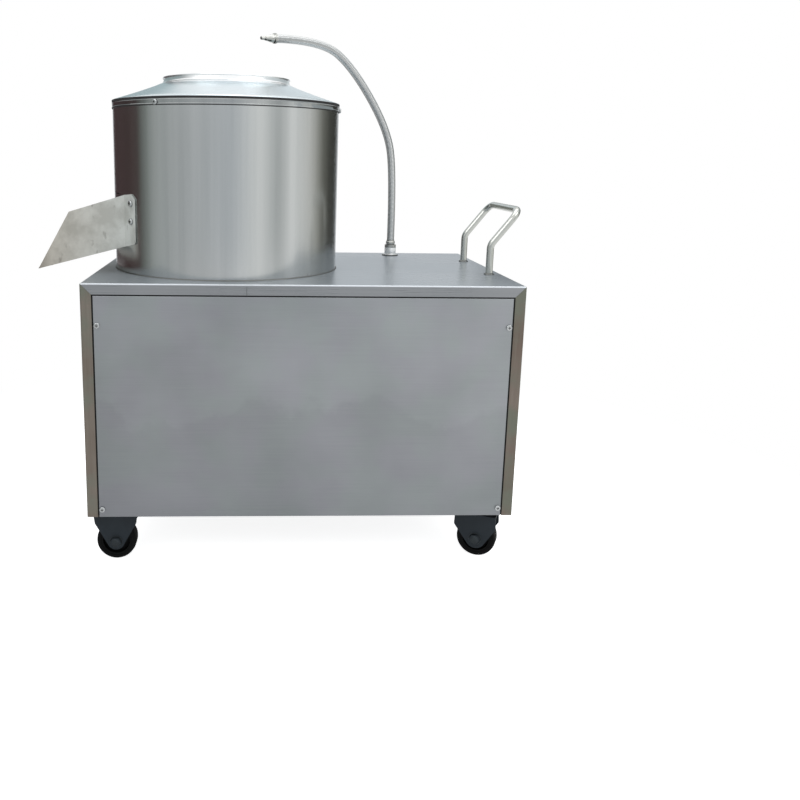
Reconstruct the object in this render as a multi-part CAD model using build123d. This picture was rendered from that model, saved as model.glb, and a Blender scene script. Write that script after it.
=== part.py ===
from build123d import *
import os
from math import asin, atan2, cos, degrees, pi, radians, sin, sqrt, tan

# An electric potato peeler on casters: a steel cabinet that holds the motor and belt drive, a
# round peeling drum with an abrasive liner and a wavy turntable, a conical feed cover, a
# discharge door that opens into a sloping chute, a spray hose and a push handle.
#
# Millimetres. The origin is on the floor below the middle of the cabinet. +X points to the
# push handle, -X to the chute, -Y to the front panel and +Z up.

# ---------------------------------------------------------------- driving dimensions

# Cabinet
cabinet_width = 800.0
cabinet_depth = 520.0
cabinet_height = 440.0
sheet = 1.5                    # posts and top plate
bend_radius = 3.0              # outside radius of a folded edge
edge_face = 20.0               # width of the posts' faces and of the top plate's rail
rebate_depth = 3.0             # how far the panels' seat lies behind the posts' faces
rebate_flange = 24.0           # width of that seat
panel_gap = 3.0                # dark gap between a post and a panel
panel_top_gap = 2.5
panel_sheet = 1.2
mitre_gap = 0.3
skirt_drop = 2.5               # the skirt hangs this far below the frame
skin_thread = 3.0              # radius of the M6 panel screws
skin_head = 5.6                # radius of their pan heads
skin_head_height = 3.4
screw_inset = 28.5             # from the cabinet's corner to a panel screw
upper_screw_height = 364.0     # above the cabinet's lower edge
lower_screw_height = 15.0
screw_play = 0.15              # radial play of a screw in its hole
vent_slots = 7
vent_length = 70.0
vent_width = 6.0
vent_pitch = 16.0

# Welded frame inside the cabinet
angle_leg = 30.0
angle_thickness = 3.0
caster_seat_x = 110.0
caster_seat_y = 100.0
bearer_spacing = 136.0         # between the two bars that carry the bearing housing
motor_bar_leg = 40.0

# Casters
caster_height = 100.0
wheel_radius = 37.5
wheel_width = 32.0
tyre_thickness = 8.0
hub_width = 36.0
axle_radius = 6.0
running_play = 0.06            # radial play of a turning fit
side_play = 0.5
cheek_thickness = 3.0
fixed_cheek_end = 16.0         # round end of a cheek, about the axle
swivel_cheek_end = 19.0
shoulder_drop = 25.0           # from a cheek's top to its widest level
fixed_taper = -3.0             # how much wider a cheek is there
swivel_taper = 1.0
fixed_caster_inset_x = 48.0
fixed_caster_inset_y = 42.0
fixed_cheek_width = 84.0
swivel_inset_x = 66.0
swivel_inset_y = 50.0
swivel_trail = 15.0
swivel_crown_back = 26.0       # the fork's crown behind and ahead of the kingpin
swivel_crown_ahead = 52.0
swivel_rest_angle = -25.0
swivel_plate = 80.0
swivel_bolt_spacing = 60.0
caster_plate_thickness = 3.0
caster_bolt = 4.0              # radius of the M8 caster bolts
nut_width = 19.0               # across the flats of the axle nuts
kingpin_radius = 6.0
cup_radius = 30.0              # of the swivel head's cup, and of the fork's race under it
race_radius = 27.0
swivel_corner = 6.0

# Drum
drum_offset = 150.0            # drum axis, left of the cabinet's middle
drum_radius = 225.0
drum_wall = 2.0
drum_height = 326.0            # above the top plate
liner_thickness = 5.8
seat_gap = 0.1                 # left between curved faces that seat on each other
floor_rise = 8.0               # top of the drum floor above the top plate
floor_sheet = 2.0
drain_radius = 25.0
drain_wall = 2.0
drain_offset = 150.0           # behind the drum axis
drain_bend = 55.0
drain_level = 107.5            # centre of the outlet below the cabinet's top
drain_reach = 50.0             # how far the outlet stands out of the rear panel
drain_collar = 4.0             # thickness of the collar against that panel

# Feed cover
cover_sheet = 1.5
cover_skirt = 13.5
cover_rise = 37.0              # height of the cone
mouth_radius = 125.5           # outside of the neck
neck_height = 9.5
bead_radius = 2.6
cover_screw_radius = 2.5
cover_screw_angle = -122.0     # first of the screws, from +X
cover_screws = 3
cover_screw_drop = 9.5         # below the drum's rim

# Discharge door, its hinge and latch. Door angles are measured from the chute's middle
# plane, positive towards the rear.
door_sill = 60.5               # lower edge of the opening above the top plate
opening_height = 90.0
opening_half_angle = 26.7
door_gap = 1.5
seal_width = 5.0
hinge_angle = 29.5
hinge_radius = 232.0           # of the hinge axis, from the drum axis
hinge_pin_radius = 3.0
knuckle_radius = 6.0
knuckle_height = 11.0
knuckle_clearance = 0.6
strap_thickness = 3.0
strap_span = 16.0              # degrees of door that a strap covers
latch_angle = -20.0
latch_pivot_radius = 5.0
latch_plate = 4.0
tongue_length = 42.0
tongue_width = 16.0
latch_arm = 44.0
knob_radius = 11.0
knob_length = 30.0

# Chute
chute_width = 250.0            # over the cheeks
chute_sheet = 2.0
chute_root_low = 51.5          # heights above the top plate
chute_root_high = 149.5
chute_tip_low = 7.0
chute_tip_high = 116.0
chute_reach = 168.0            # from the cheeks' root to the lip
chute_top_reach = 107.0
ear_span = 9.8                 # degrees of drum that an ear covers
ear_bolt_angle = 6.3           # of the bolts, past the cheek
ear_bolt_heights = (100.0, 133.6)
ear_bolt_radius = 3.0

# Turntable
turntable_gap = 3.0            # between its rim and the liner
turntable_level = 58.5         # upper face above the top plate
turntable_thickness = 10.0
wave_count = 6
wave_inner = 58.0
wave_inner_height = 8.0
wave_outer_height = 18.0
wave_end = 14.0                # radius to which a wave's outer end rolls down
hub_radius = 45.0
hub_depth = 20.0
paddle_thickness = 6.0
paddle_depth = 24.0
cap_radius = 38.0
cap_height = 26.0

# Main shaft and its bearings
shaft_radius = 17.5
shaft_nose_radius = 15.0
bearing_outer = 36.0
bearing_width = 17.0
housing_radius = 42.0
housing_rise = 20.5            # neck's top above the top plate
housing_length = 143.0
housing_flange = 10.0
housing_bolt_circle = 138.0
housing_bolt_inset = 8.0       # of the bolts, from the bearers' middles
seal_outer = 31.0
seal_height = 8.0
drive_bolt = 5.0

# Belt drive
drive_pulley_radius = 140.0
motor_pulley_radius = 40.0
belt_drop = 170.0              # middle of the belts below the cabinet's top
belt_count = 2
belt_pitch = 15.0
belt_depth = 8.0
belt_half_width = 6.2
belt_sink = 0.5                # belt's back below the pulley's edge
belt_clearance = 0.35
groove_depth = 10.0
belt_flank = 20.0              # degrees
pulley_web = 8.0
web_holes = 5

# Motor
motor_offset = 200.0           # motor axis, right of the cabinet's middle
motor_radius = 76.0
fin_height = 9.0
fin_thickness = 3.0
fin_count = 32
motor_length = 178.0
motor_shoulder = 8.0           # from the motor's end to the pulley
bell_height = 16.0             # end bell, and where it starts below the motor's end
bell_drop = 10.0
terminal_width = 72.0
terminal_height = 68.0
terminal_proud = 38.0
fan_cover_height = 38.0
fan_cover_radius = 84.0
fan_slot_length = 30.0
fan_slot_width = 5.0
fan_slot_reach = 45.0          # of the slots' middles, from the motor axis
motor_shaft_radius = 12.0
foot_height = 92.0             # from the motor axis to its feet's face
foot_spacing_y = 116.0
foot_spacing_z = 90.0
bracket_thickness = 8.0
bracket_width = 170.0
bracket_foot = 76.0
bracket_rise = 16.0            # bracket's top below the motor's end
gusset_drop = 50.0             # gussets' top below the bracket's

# Push handle
handle_rod = 7.0
handle_inset = 27.0            # from the cabinet's right edge
handle_spacing = 208.0
handle_leg = 58.5
handle_overhang = 54.0
handle_height = 127.0          # crossbar's axis above the top plate
handle_bend = 24.0

# Spray hose and water line
hose_inset_x = 175.0           # from the cabinet's right edge
hose_inset_y = 46.0            # from its rear edge
hose_radius = 8.5
socket_height = 25.0
socket_radius = 12.0
socket_stem = 8.0
socket_bore = 5.0
nozzle_length = 36.0
nozzle_tip = 3.6
pipe_radius = 7.5
pipe_bend = 22.0
valve_drop = 60.0              # valve's axis below the top plate
valve_body_radius = 15.0
valve_length = 62.0
inlet_radius = 10.5
inlet_length = 16.0
valve_stem_radius = 4.0
valve_lever_length = 84.0
valve_grip_length = 50.0
grip_wall = 1.5                # vinyl round the lever

# Switch box
box_proud = 60.0
box_width = 110.0
box_height = 150.0
box_level = 242.0              # its lower face above the cabinet's lower edge
button_radius = 14.0
button_stem = 8.0
button_proud = 9.0
button_spacing = 60.0
gland_radius = 11.0
gland_bore = 4.5
gland_length = 26.0

# ---------------------------------------------------------------- places worked out

cabinet_bottom = caster_height - skirt_drop
cabinet_top = cabinet_bottom + cabinet_height
half_width = cabinet_width / 2
half_depth = cabinet_depth / 2
skin_depth = rebate_depth + sheet                # posts' seats end here; the frame starts
frame_x = half_width - skin_depth
frame_y = half_depth - skin_depth
frame_top = cabinet_top - sheet
panel_height = cabinet_height - edge_face - panel_top_gap
panel_half_front = half_width - edge_face - panel_gap
panel_half_side = half_depth - edge_face - panel_gap
drum_x = -drum_offset
drum_inner = drum_radius - drum_wall
liner_outer = drum_inner - seat_gap
liner_inner = liner_outer - liner_thickness
cone_slope = cover_rise / (drum_radius - mouth_radius)
cover_lift = cover_sheet / cos(atan2(cover_rise, drum_radius - mouth_radius))
rim_top = cabinet_top + drum_height
sill = cabinet_top + door_sill
door_low = sill + door_gap
door_high = sill + opening_height - door_gap
door_half_angle = opening_half_angle - degrees(door_gap / drum_radius) / 2
latch_level = sill + opening_height / 2
turntable_top = cabinet_top + turntable_level
turntable_low = turntable_top - turntable_thickness
turntable_radius = liner_inner - turntable_gap
housing_top = cabinet_top + housing_rise
housing_low = housing_top - housing_length
flange_top = frame_top - angle_thickness
flange_radius = bearer_spacing / 2 + angle_leg / 2 - angle_thickness - 1
belt_plane = cabinet_top - belt_drop
pulley_half = (belt_count * belt_pitch + 5) / 2
motor_top = belt_plane - pulley_half - motor_shoulder
motor_low = motor_top - motor_length
bracket_x = motor_offset + foot_height
bar_top = caster_height + angle_thickness
hose_x = half_width - hose_inset_x
hose_y = half_depth - hose_inset_y
valve_level = cabinet_top - valve_drop
box_low = cabinet_bottom + box_level

# The hose's centreline, from the top of its socket to the nozzle: distance out along its
# own plane and height above the top plate.
hose_line = (
    (0.0, socket_height),
    (1.0, 200.0),
    (25.0, 290.0),
    (122.0, 414.0),
    (203.0, 466.0),
    (354.0, 462.0),
)


# ---------------------------------------------------------------- small shared forms

def disc(radius, low, high, x=0.0, y=0.0):
    """Upright cylinder between two heights."""
    base = (Align.CENTER, Align.CENTER, Align.MIN)
    return Pos(x, y, low) * Cylinder(radius, high - low, align=base)


def ring(outer, inner, low, high, x=0.0, y=0.0):
    """Upright tube between two heights."""
    return disc(outer, low, high, x, y) - disc(inner, low - 1, high + 1, x, y)


def block(x_span, y_span, z_span):
    """Box between three pairs of coordinates."""
    corner = (Align.MIN, Align.MIN, Align.MIN)
    size = [span[1] - span[0] for span in (x_span, y_span, z_span)]
    return Pos(x_span[0], y_span[0], z_span[0]) * Box(*size, align=corner)


def sector(inner, outer, start, end, low, high):
    """Curved plate about the drum's axis; door angles, in degrees."""
    section = Plane.XZ * Pos((inner + outer) / 2, (low + high) / 2)
    section = section * Rectangle(outer - inner, high - low)
    plate = revolve(section, Axis.Z, end - start)
    return Rot(0, 0, 180 - end) * plate


def outward(angle):
    """Turn +X to point out of the drum at a door angle."""
    return Rot(0, 0, 180 - angle)


def drum_place(shape):
    """Move a piece built about its own axis to the drum's axis."""
    return Pos(drum_x, 0, 0) * shape


def turned(profile):
    """Revolve an (r, z) outline about the vertical axis."""
    return revolve(Plane.XZ * make_face(Polyline(*profile, close=True)), Axis.Z)


def lying(radius, start, end, x=0.0, z=0.0):
    """Cylinder along Y."""
    base = (Align.CENTER, Align.CENTER, Align.MIN)
    return Pos(x, start, z) * Rot(-90, 0, 0) * Cylinder(radius, end - start, align=base)


def crosswise(radius, start, end, y=0.0, z=0.0):
    """Cylinder along X."""
    base = (Align.CENTER, Align.CENTER, Align.MIN)
    return Pos(start, y, z) * Rot(0, 90, 0) * Cylinder(radius, end - start, align=base)


def hexagon(across_flats, low, high, x=0.0, y=0.0):
    """Upright hexagonal prism."""
    flat = RegularPolygon(across_flats / 2, 6, major_radius=False)
    return Pos(x, y, low) * extrude(flat, high - low)


def hex_bolt(radius, length, nut_at=None):
    """Hex bolt from z = 0 down, with its head above and a nut at a depth."""
    width = 3.3 * radius
    bolt = disc(radius, -length, 0.5) + hexagon(width, 0, 1.3 * radius)
    if nut_at is not None:
        bolt += hexagon(width, -nut_at - 1.6 * radius, -nut_at)
    return bolt


def pan_screw(thread, head, height, length):
    """Pan-head screw along +X, its head starting at x = 0, with a cross recess."""
    dome = crosswise(head, 0, height)
    dome = fillet(dome.edges().group_by(Axis.X)[-1], height * 0.55)
    for size in ((0.25, 0.9), (0.9, 0.25)):
        slot = Box(height, head * size[0], head * size[1])
        dome -= Pos(height, 0, 0) * slot
    return dome + crosswise(thread, -length, 0.2)


def on_side(shape, side):
    """Place a piece built for the front (-Y) on another side of the cabinet."""
    turn = {"front": 0, "right": 90, "rear": 180, "left": 270}[side]
    reach = half_depth if side in ("front", "rear") else half_width
    return Rot(0, 0, turn) * Pos(0, -reach, 0) * shape


# ---------------------------------------------------------------- cabinet

def panel_screw_spots(side):
    """Across and up, on one side of the cabinet."""
    half = half_width if side in ("front", "rear") else half_depth
    across = half - screw_inset
    heights = (cabinet_bottom + lower_screw_height, cabinet_bottom + upper_screw_height)
    return [(sign * across, height) for sign in (-1, 1) for height in heights]


SIDES = ("front", "right", "rear", "left")


def screw_holes():
    """Clearance holes for every panel screw, through seats and frame."""
    holes = []
    for side in SIDES:
        for across, height in panel_screw_spots(side):
            hole = lying(skin_thread + screw_play, -1, angle_leg, across, height)
            holes.append(on_side(hole, side))
    return holes


def corner_pyramid(gap):
    """The space below the 45 degree mitres at the front left corner."""
    reach = edge_face * 2
    height = reach
    wedge_x = Polyline((gap, 0), (gap + height, -height), (-height, -height), (-height, 0), close=True)
    along_y = extrude(Plane.XZ * make_face(wedge_x), reach, both=True)
    wedge_y = Polyline((gap, 0), (gap + height, -height), (-height, -height), (-height, 0), close=True)
    along_x = extrude(Plane.YZ * make_face(wedge_y), reach, both=True)
    return Pos(-half_width, -half_depth, cabinet_top) * (along_y & along_x)


def four_corners(shape):
    """A front left piece and its three mirror images."""
    right = mirror(shape, Plane.YZ)
    return [shape, right, mirror(shape, Plane.XZ), mirror(right, Plane.XZ)]


def corner_posts():
    """Four folded posts: front left, front right, rear left, rear right."""
    face, step, flange, t = edge_face, rebate_depth, rebate_flange, sheet
    outer = [(face + flange, step), (face, step), (face, 0), (0, 0)]
    inner = [(t, t), (face - t, t), (face - t, step + t), (face + flange, step + t)]
    mirrored_outer = [(y, x) for x, y in reversed(outer[:-1])]
    mirrored_inner = [(y, x) for x, y in reversed(inner[1:])]
    section = make_face(Polyline(*outer, *mirrored_outer, *mirrored_inner, *inner, close=True))
    post = extrude(section, cabinet_height)
    bend = post.edges().filter_by(Axis.Z).sort_by_distance(Vertex(0, 0, cabinet_height / 2))[0]
    post = fillet(bend, bend_radius)
    post = Pos(-half_width, -half_depth, cabinet_bottom) * post
    crown = block((-half_width, 0), (-half_depth, 0), (frame_top - edge_face * 2, cabinet_top + 1))
    below = block((-half_width - 1, 0), (-half_depth - 1, 0),
                  (cabinet_bottom - 1, cabinet_top - edge_face * 1.2))
    post = (post & below) + ((post & crown) & corner_pyramid(-mitre_gap / 2))
    post -= block((-half_width, 0), (-half_depth, 0), (frame_top, cabinet_top + 1))
    posts = []
    for piece in four_corners(post):
        for hole in screw_holes():
            if (piece.bounding_box().center() - hole.bounding_box().center()).length < cabinet_height:
                piece -= hole
        posts.append(piece)
    return posts


def top_plate():
    """Inverted tray with a rail folded down on every side and mitred corners."""
    outer = block((-half_width, half_width), (-half_depth, half_depth),
                  (cabinet_top - edge_face, cabinet_top))
    rounded = outer.edges().group_by(Axis.Z)[-1] + outer.edges().filter_by(Axis.Z)
    outer = fillet(rounded, bend_radius)
    inner = block((-half_width + sheet, half_width - sheet), (-half_depth + sheet, half_depth - sheet),
                  (cabinet_top - edge_face - 1, cabinet_top - sheet))
    rounded = inner.edges().group_by(Axis.Z)[-1] + inner.edges().filter_by(Axis.Z)
    inner = fillet(rounded, bend_radius - sheet)
    plate = outer - inner
    skirt_only = block((-half_width - 1, half_width + 1), (-half_depth - 1, half_depth + 1),
                       (cabinet_top - edge_face - 1, cabinet_top - sheet))
    for pyramid in four_corners(corner_pyramid(mitre_gap / 2)):
        plate -= pyramid & skirt_only
    plate -= disc(housing_radius + seat_gap, frame_top - 1, cabinet_top + 1, drum_x)
    plate -= disc(drain_radius + seat_gap, frame_top - 1, cabinet_top + 1, drum_x, drain_offset)
    plate -= disc(socket_stem + seat_gap, frame_top - 1, cabinet_top + 1, hose_x, hose_y)
    return plate


def plain_panel(half):
    """Flat panel with short returns all round, built for the front."""
    tray = block((-half, half), (0, rebate_depth), (cabinet_bottom, cabinet_bottom + panel_height))
    tray = fillet(tray.edges().group_by(Axis.Y)[0].filter_by(Axis.X), panel_sheet * 0.8)
    hollow = block((-half + panel_sheet, half - panel_sheet), (panel_sheet, rebate_depth + 1),
                   (cabinet_bottom + panel_sheet, cabinet_bottom + panel_height - panel_sheet))
    return tray - hollow


def side_panel(side):
    """One of the four panels, with its screw holes and cut-outs."""
    half = panel_half_front if side in ("front", "rear") else panel_half_side
    panel = plain_panel(half)
    for across, height in panel_screw_spots(side):
        panel -= lying(skin_thread + screw_play, -1, rebate_depth + 1, across, height)
    if side == "rear":
        panel -= lying(drain_radius + 1, -1, rebate_depth + 1, -drum_x, cabinet_top - drain_level)
        panel -= lying(pipe_radius + 1, -1, rebate_depth + 1, -hose_x, valve_level)
        for index in range(vent_slots):
            height = cabinet_bottom + 70 + index * vent_pitch
            slot = SlotOverall(vent_length, vent_width)
            cut = extrude(Plane.XZ * Pos(-motor_offset, height) * slot, rebate_depth + 2, both=True)
            panel -= cut
    if side == "right":
        panel -= lying(gland_radius, -1, rebate_depth + 1, 0, box_low + box_height / 2)
    return on_side(panel, side)


def panel_screws():
    """Sixteen M6 pan-head screws."""
    screws = []
    screw = Rot(0, 0, -90) * pan_screw(skin_thread, skin_head, skin_head_height, 10.0)
    for side in SIDES:
        for across, height in panel_screw_spots(side):
            screws.append(on_side(Pos(across, 0, height) * screw, side))
    return screws


def frame():
    """Welded angle frame: two rectangles, four uprights, bearers, motor bars, caster seats."""
    leg, t = angle_leg, angle_thickness
    z_top = frame_top
    z_low = caster_height

    def rectangle(inset, low, high, width):
        outer = block((-frame_x + inset, frame_x - inset), (-frame_y + inset, frame_y - inset), (low, high))
        inner = block((-frame_x + inset + width, frame_x - inset - width),
                      (-frame_y + inset + width, frame_y - inset - width), (low - 1, high + 1))
        return outer - inner

    body = rectangle(0, z_top - t, z_top, leg) + rectangle(0, z_top - leg, z_top, t)
    body += rectangle(0, z_low, z_low + t, leg) + rectangle(0, z_low, z_low + leg, t)
    upright = block((-frame_x, -frame_x + leg), (-frame_y, -frame_y + t), (z_low, z_top))
    upright += block((-frame_x, -frame_x + t), (-frame_y, -frame_y + leg), (z_low, z_top))
    upright += block((-frame_x, -frame_x + caster_seat_x), (-frame_y, -frame_y + caster_seat_y),
                     (z_low, z_low + t))
    for corner in four_corners(upright):
        body += corner
    for sign in (-1, 1):
        centre = drum_x + sign * bearer_spacing / 2
        body += block((centre - leg / 2, centre + leg / 2), (-frame_y + t, frame_y - t), (z_top - t, z_top))
        edge = centre + sign * (leg / 2 - t / 2)
        body += block((edge - t / 2, edge + t / 2), (-frame_y + t, frame_y - t), (z_top - leg, z_top))
    between_seats = frame_y - caster_seat_y
    for start, edge in zip(motor_bar_starts(), motor_bar_edges()):
        body += block((start, start + motor_bar_leg), (-frame_y + t, frame_y - t), (z_low, bar_top))
        body += block((edge, edge + t), (-between_seats, between_seats), (z_low, z_low + leg))
    body -= disc(housing_radius + 1, z_top - leg - 1, z_top + 1, drum_x)
    body -= disc(drain_radius + 3, z_top - leg - 1, z_top + 1, drum_x, drain_offset)
    for hole in screw_holes():
        body -= hole
    for x, y in caster_bolt_spots():
        body -= disc(caster_bolt + screw_play, z_low - 1, z_low + t + 1, x, y)
    for x, y in housing_bolt_spots():
        body -= disc(drive_bolt + screw_play, z_top - t - 1, z_top + 1, x, y)
    for x, y in bracket_bolt_spots():
        body -= disc(drive_bolt + screw_play, z_low - 1, bar_top + 1, x, y)
    return body


def push_handle():
    """One bent rod welded to the top plate, with a weld bead round each foot."""
    foot_x = half_width - handle_inset
    half = handle_spacing / 2
    level = cabinet_top + handle_height
    path = FilletPolyline(
        (foot_x, -half, cabinet_top), (foot_x, -half, cabinet_top + handle_leg),
        (foot_x + handle_overhang, -half, level), (foot_x + handle_overhang, half, level),
        (foot_x, half, cabinet_top + handle_leg), (foot_x, half, cabinet_top), radius=handle_bend)
    start = Plane(origin=(foot_x, -half, cabinet_top), z_dir=(0, 0, 1))
    rod = sweep(start * Circle(handle_rod), path)
    for sign in (-1, 1):
        bead = Cone(handle_rod + 3, handle_rod, 3, align=(Align.CENTER, Align.CENTER, Align.MIN))
        rod += Pos(foot_x, sign * half, cabinet_top) * bead
    return rod


# ---------------------------------------------------------------- drum

def hinge_spot():
    """The hinge axis about the drum's own axis."""
    angle = radians(180 - hinge_angle)
    return hinge_radius * cos(angle), hinge_radius * sin(angle)


def hinge_levels():
    """Lower ends of the lower and the upper pair of knuckles, each a lug and a strap."""
    low = sill + 8
    high = sill + opening_height - 8 - 2 * knuckle_height - knuckle_clearance
    return low, high


def knuckle(low, reach_radius, reach_angle, end_radius):
    """Knuckle eye with a web that reaches to a round end nearer the drum."""
    x, y = hinge_spot()
    angle = radians(180 - reach_angle)
    end_x, end_y = reach_radius * cos(angle), reach_radius * sin(angle)
    eye = Pos(x, y) * Circle(knuckle_radius)
    end = Pos(end_x, end_y) * Circle(end_radius)
    outline = make_hull(eye.edges() + end.edges())
    return Pos(0, 0, low) * extrude(outline, knuckle_height)


def hinge_lugs():
    """Two lugs welded to the drum, below the lower strap and above the upper strap."""
    low, high = hinge_levels()
    levels = (low, high + knuckle_height + knuckle_clearance)
    return [knuckle(level, drum_radius - 1, hinge_angle, knuckle_radius) for level in levels]


def latch_keeper():
    """Hook that the latch tongue turns up into, open below."""
    tongue_back = drum_radius + strap_thickness + 1
    lip = tongue_back + latch_plate + 0.6
    side = (tongue_length - 10, tongue_length)
    top = tongue_width / 2 + 1
    hook = block((drum_radius - 8, lip + 3), side, (top, top + 4))
    hook += block((lip, lip + 3), side, (-tongue_width / 2, top + 4))
    hook -= disc(drum_radius - drum_wall / 2, -side[1], side[1] + 1)
    return Pos(0, 0, latch_level) * outward(latch_angle) * hook


def ear_bolt_places():
    """Door angle and height of each bolt that holds the chute."""
    cheek_angle = degrees(asin((chute_width / 2) / drum_radius))
    angle = cheek_angle + ear_bolt_angle
    heights = [cabinet_top + height for height in ear_bolt_heights]
    return [(sign * angle, height) for sign in (-1, 1) for height in heights]


def drum_shell():
    """Rolled drum with the discharge opening, hinge lugs and latch keeper."""
    shell = ring(drum_radius, drum_inner, cabinet_top, rim_top)
    shell -= sector(drum_inner - 3, drum_radius + 3, -opening_half_angle, opening_half_angle,
                    sill, sill + opening_height)
    for lug in hinge_lugs():
        shell += lug - disc(drum_radius - drum_wall / 2, cabinet_top, rim_top)
    shell += latch_keeper()
    x, y = hinge_spot()
    shell -= disc(hinge_pin_radius + running_play, sill, sill + opening_height, x, y)
    for index in range(cover_screws):
        turn = Rot(0, 0, cover_screw_angle + index * 360 / cover_screws)
        hole = crosswise(cover_screw_radius + screw_play, drum_inner - 3, drum_radius + 3,
                         0, rim_top - cover_screw_drop)
        shell -= turn * hole
    for angle, height in ear_bolt_places():
        hole = crosswise(ear_bolt_radius + screw_play, drum_inner - 3, drum_radius + 3, 0, height)
        shell -= outward(angle) * hole
    return drum_place(shell)


def abrasive_liner():
    """Grit-coated liner inside the drum, open at the door."""
    low = turntable_low - 6
    liner = ring(liner_outer, liner_inner, low, rim_top - cover_skirt - 8)
    liner -= sector(liner_inner - 3, liner_outer + 3, -opening_half_angle, opening_half_angle,
                    sill, sill + opening_height)
    return drum_place(liner)


def drum_floor():
    """Pan under the turntable, with its rim turned down onto the top plate."""
    top = cabinet_top + floor_rise
    edge = drum_inner - seat_gap
    pan = disc(edge, top - floor_sheet, top) + ring(edge, edge - floor_sheet, cabinet_top, top)
    pan -= disc(housing_radius + seat_gap, cabinet_top - 1, top + 1)
    pan -= disc(drain_radius - drain_wall, cabinet_top - 1, top + 1, 0, drain_offset)
    return drum_place(pan)


def drain_pipe():
    """Drain from the drum floor, down and out through the rear panel."""
    top = cabinet_top + floor_rise - floor_sheet
    level = cabinet_top - drain_level
    path = FilletPolyline((0, drain_offset, top), (0, drain_offset, level),
                          (0, half_depth + drain_reach, level), radius=drain_bend)
    start = Plane(origin=(0, drain_offset, top), z_dir=(0, 0, -1))
    outside = sweep(start * Circle(drain_radius), path)
    inside = sweep(start * Circle(drain_radius - drain_wall), path)
    flange = ring(drain_radius + 8, drain_radius - 1, top - floor_sheet, top, 0, drain_offset)
    collar = lying(drain_radius + 6, half_depth, half_depth + drain_collar, 0, level)
    return drum_place(outside + flange + collar - inside)


# ---------------------------------------------------------------- feed cover

def feed_cover():
    """Spun cover: a skirt over the drum's rim, a cone and a neck with a rolled bead."""
    t = cover_sheet
    skirt_in = drum_radius + seat_gap
    skirt_out = skirt_in + t
    neck_out = mouth_radius
    neck_in = neck_out - t
    cone_foot = rim_top + cover_lift
    cone_head = cone_foot + cover_rise
    top = cone_head + neck_height
    skirt_low = rim_top - cover_skirt
    foot_lift = (skirt_in - drum_radius) * cone_slope
    outline = [
        (skirt_in, skirt_low), (skirt_out, skirt_low),
        (skirt_out, cone_foot - (skirt_out - drum_radius) * cone_slope),
        (neck_out, cone_head), (neck_out, top), (neck_in, top),
        (neck_in, cone_head - cover_lift + t * cone_slope),
        (skirt_in, rim_top - foot_lift),
    ]
    face = make_face(Polyline(*outline, close=True))
    corners = face.vertices()
    shoulder = corners.sort_by_distance(Vertex(outline[2][0], outline[2][1], 0))[0]
    face = fillet(shoulder, 1.4)
    throat = face.vertices().sort_by_distance(Vertex(neck_out, cone_head, 0))[0]
    face = fillet(throat, 5.0)
    throat_in = face.vertices().sort_by_distance(Vertex(outline[6][0], outline[6][1], 0))[0]
    face = fillet(throat_in, 5.0)
    cover = revolve(Plane.XZ * face, Axis.Z)
    bead = Pos(0, 0, top - bead_radius) * Torus(neck_out - t / 2 + bead_radius - t / 2, bead_radius)
    bead -= disc(neck_in, rim_top, top + 5)
    cover += bead
    for index in range(cover_screws):
        turn = Rot(0, 0, cover_screw_angle + index * 360 / cover_screws)
        hole = crosswise(cover_screw_radius + screw_play, drum_inner - 3, skirt_out + 3,
                         0, rim_top - cover_screw_drop)
        cover -= turn * hole
    return drum_place(cover)


def feed_cover_screws():
    """Screws that hold the cover's skirt to the drum."""
    face = drum_radius + seat_gap + cover_sheet
    length = face - drum_inner
    screws = []
    for index in range(cover_screws):
        screw = pan_screw(cover_screw_radius, 5.0, 3.2, length)
        place = Rot(0, 0, cover_screw_angle + index * 360 / cover_screws)
        place = place * Pos(face, 0, rim_top - cover_screw_drop)
        screws.append(drum_place(place * screw))
    return screws


# ---------------------------------------------------------------- discharge door

def discharge_door():
    """Curved door plate with the stud that the latch turns on."""
    door = sector(drum_inner, drum_radius, -door_half_angle, door_half_angle, door_low, door_high)
    stud = crosswise(latch_pivot_radius, drum_radius - drum_wall / 2,
                     drum_radius + strap_thickness + 1 + latch_plate + 3)
    washer = crosswise(latch_pivot_radius + 4, drum_radius - drum_wall / 2,
                       drum_radius + strap_thickness + 0.7)
    head = crosswise(latch_pivot_radius + 3, drum_radius + strap_thickness + 1.3 + latch_plate,
                     drum_radius + strap_thickness + latch_plate + 4)
    door += Pos(0, 0, latch_level) * outward(latch_angle) * (stud + washer + head)
    return drum_place(door)


def door_pad():
    """Abrasive pad on the inside of the door."""
    edge = degrees(seal_width / drum_radius)
    pad = sector(liner_inner, drum_inner - seat_gap, -door_half_angle + edge, door_half_angle - edge,
                 door_low + seal_width, door_high - seal_width)
    return drum_place(pad)


def door_seal():
    """Rubber strip round the pad."""
    edge = degrees((seal_width - seat_gap) / drum_radius)
    outer = drum_inner - seat_gap
    inner = liner_inner + 1
    seal = sector(inner, outer, -door_half_angle, door_half_angle, door_low, door_high)
    seal -= sector(inner - 1, outer + 1, -door_half_angle + edge, door_half_angle - edge,
                   door_low + seal_width - seat_gap, door_high - seal_width + seat_gap)
    return drum_place(seal)


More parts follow.
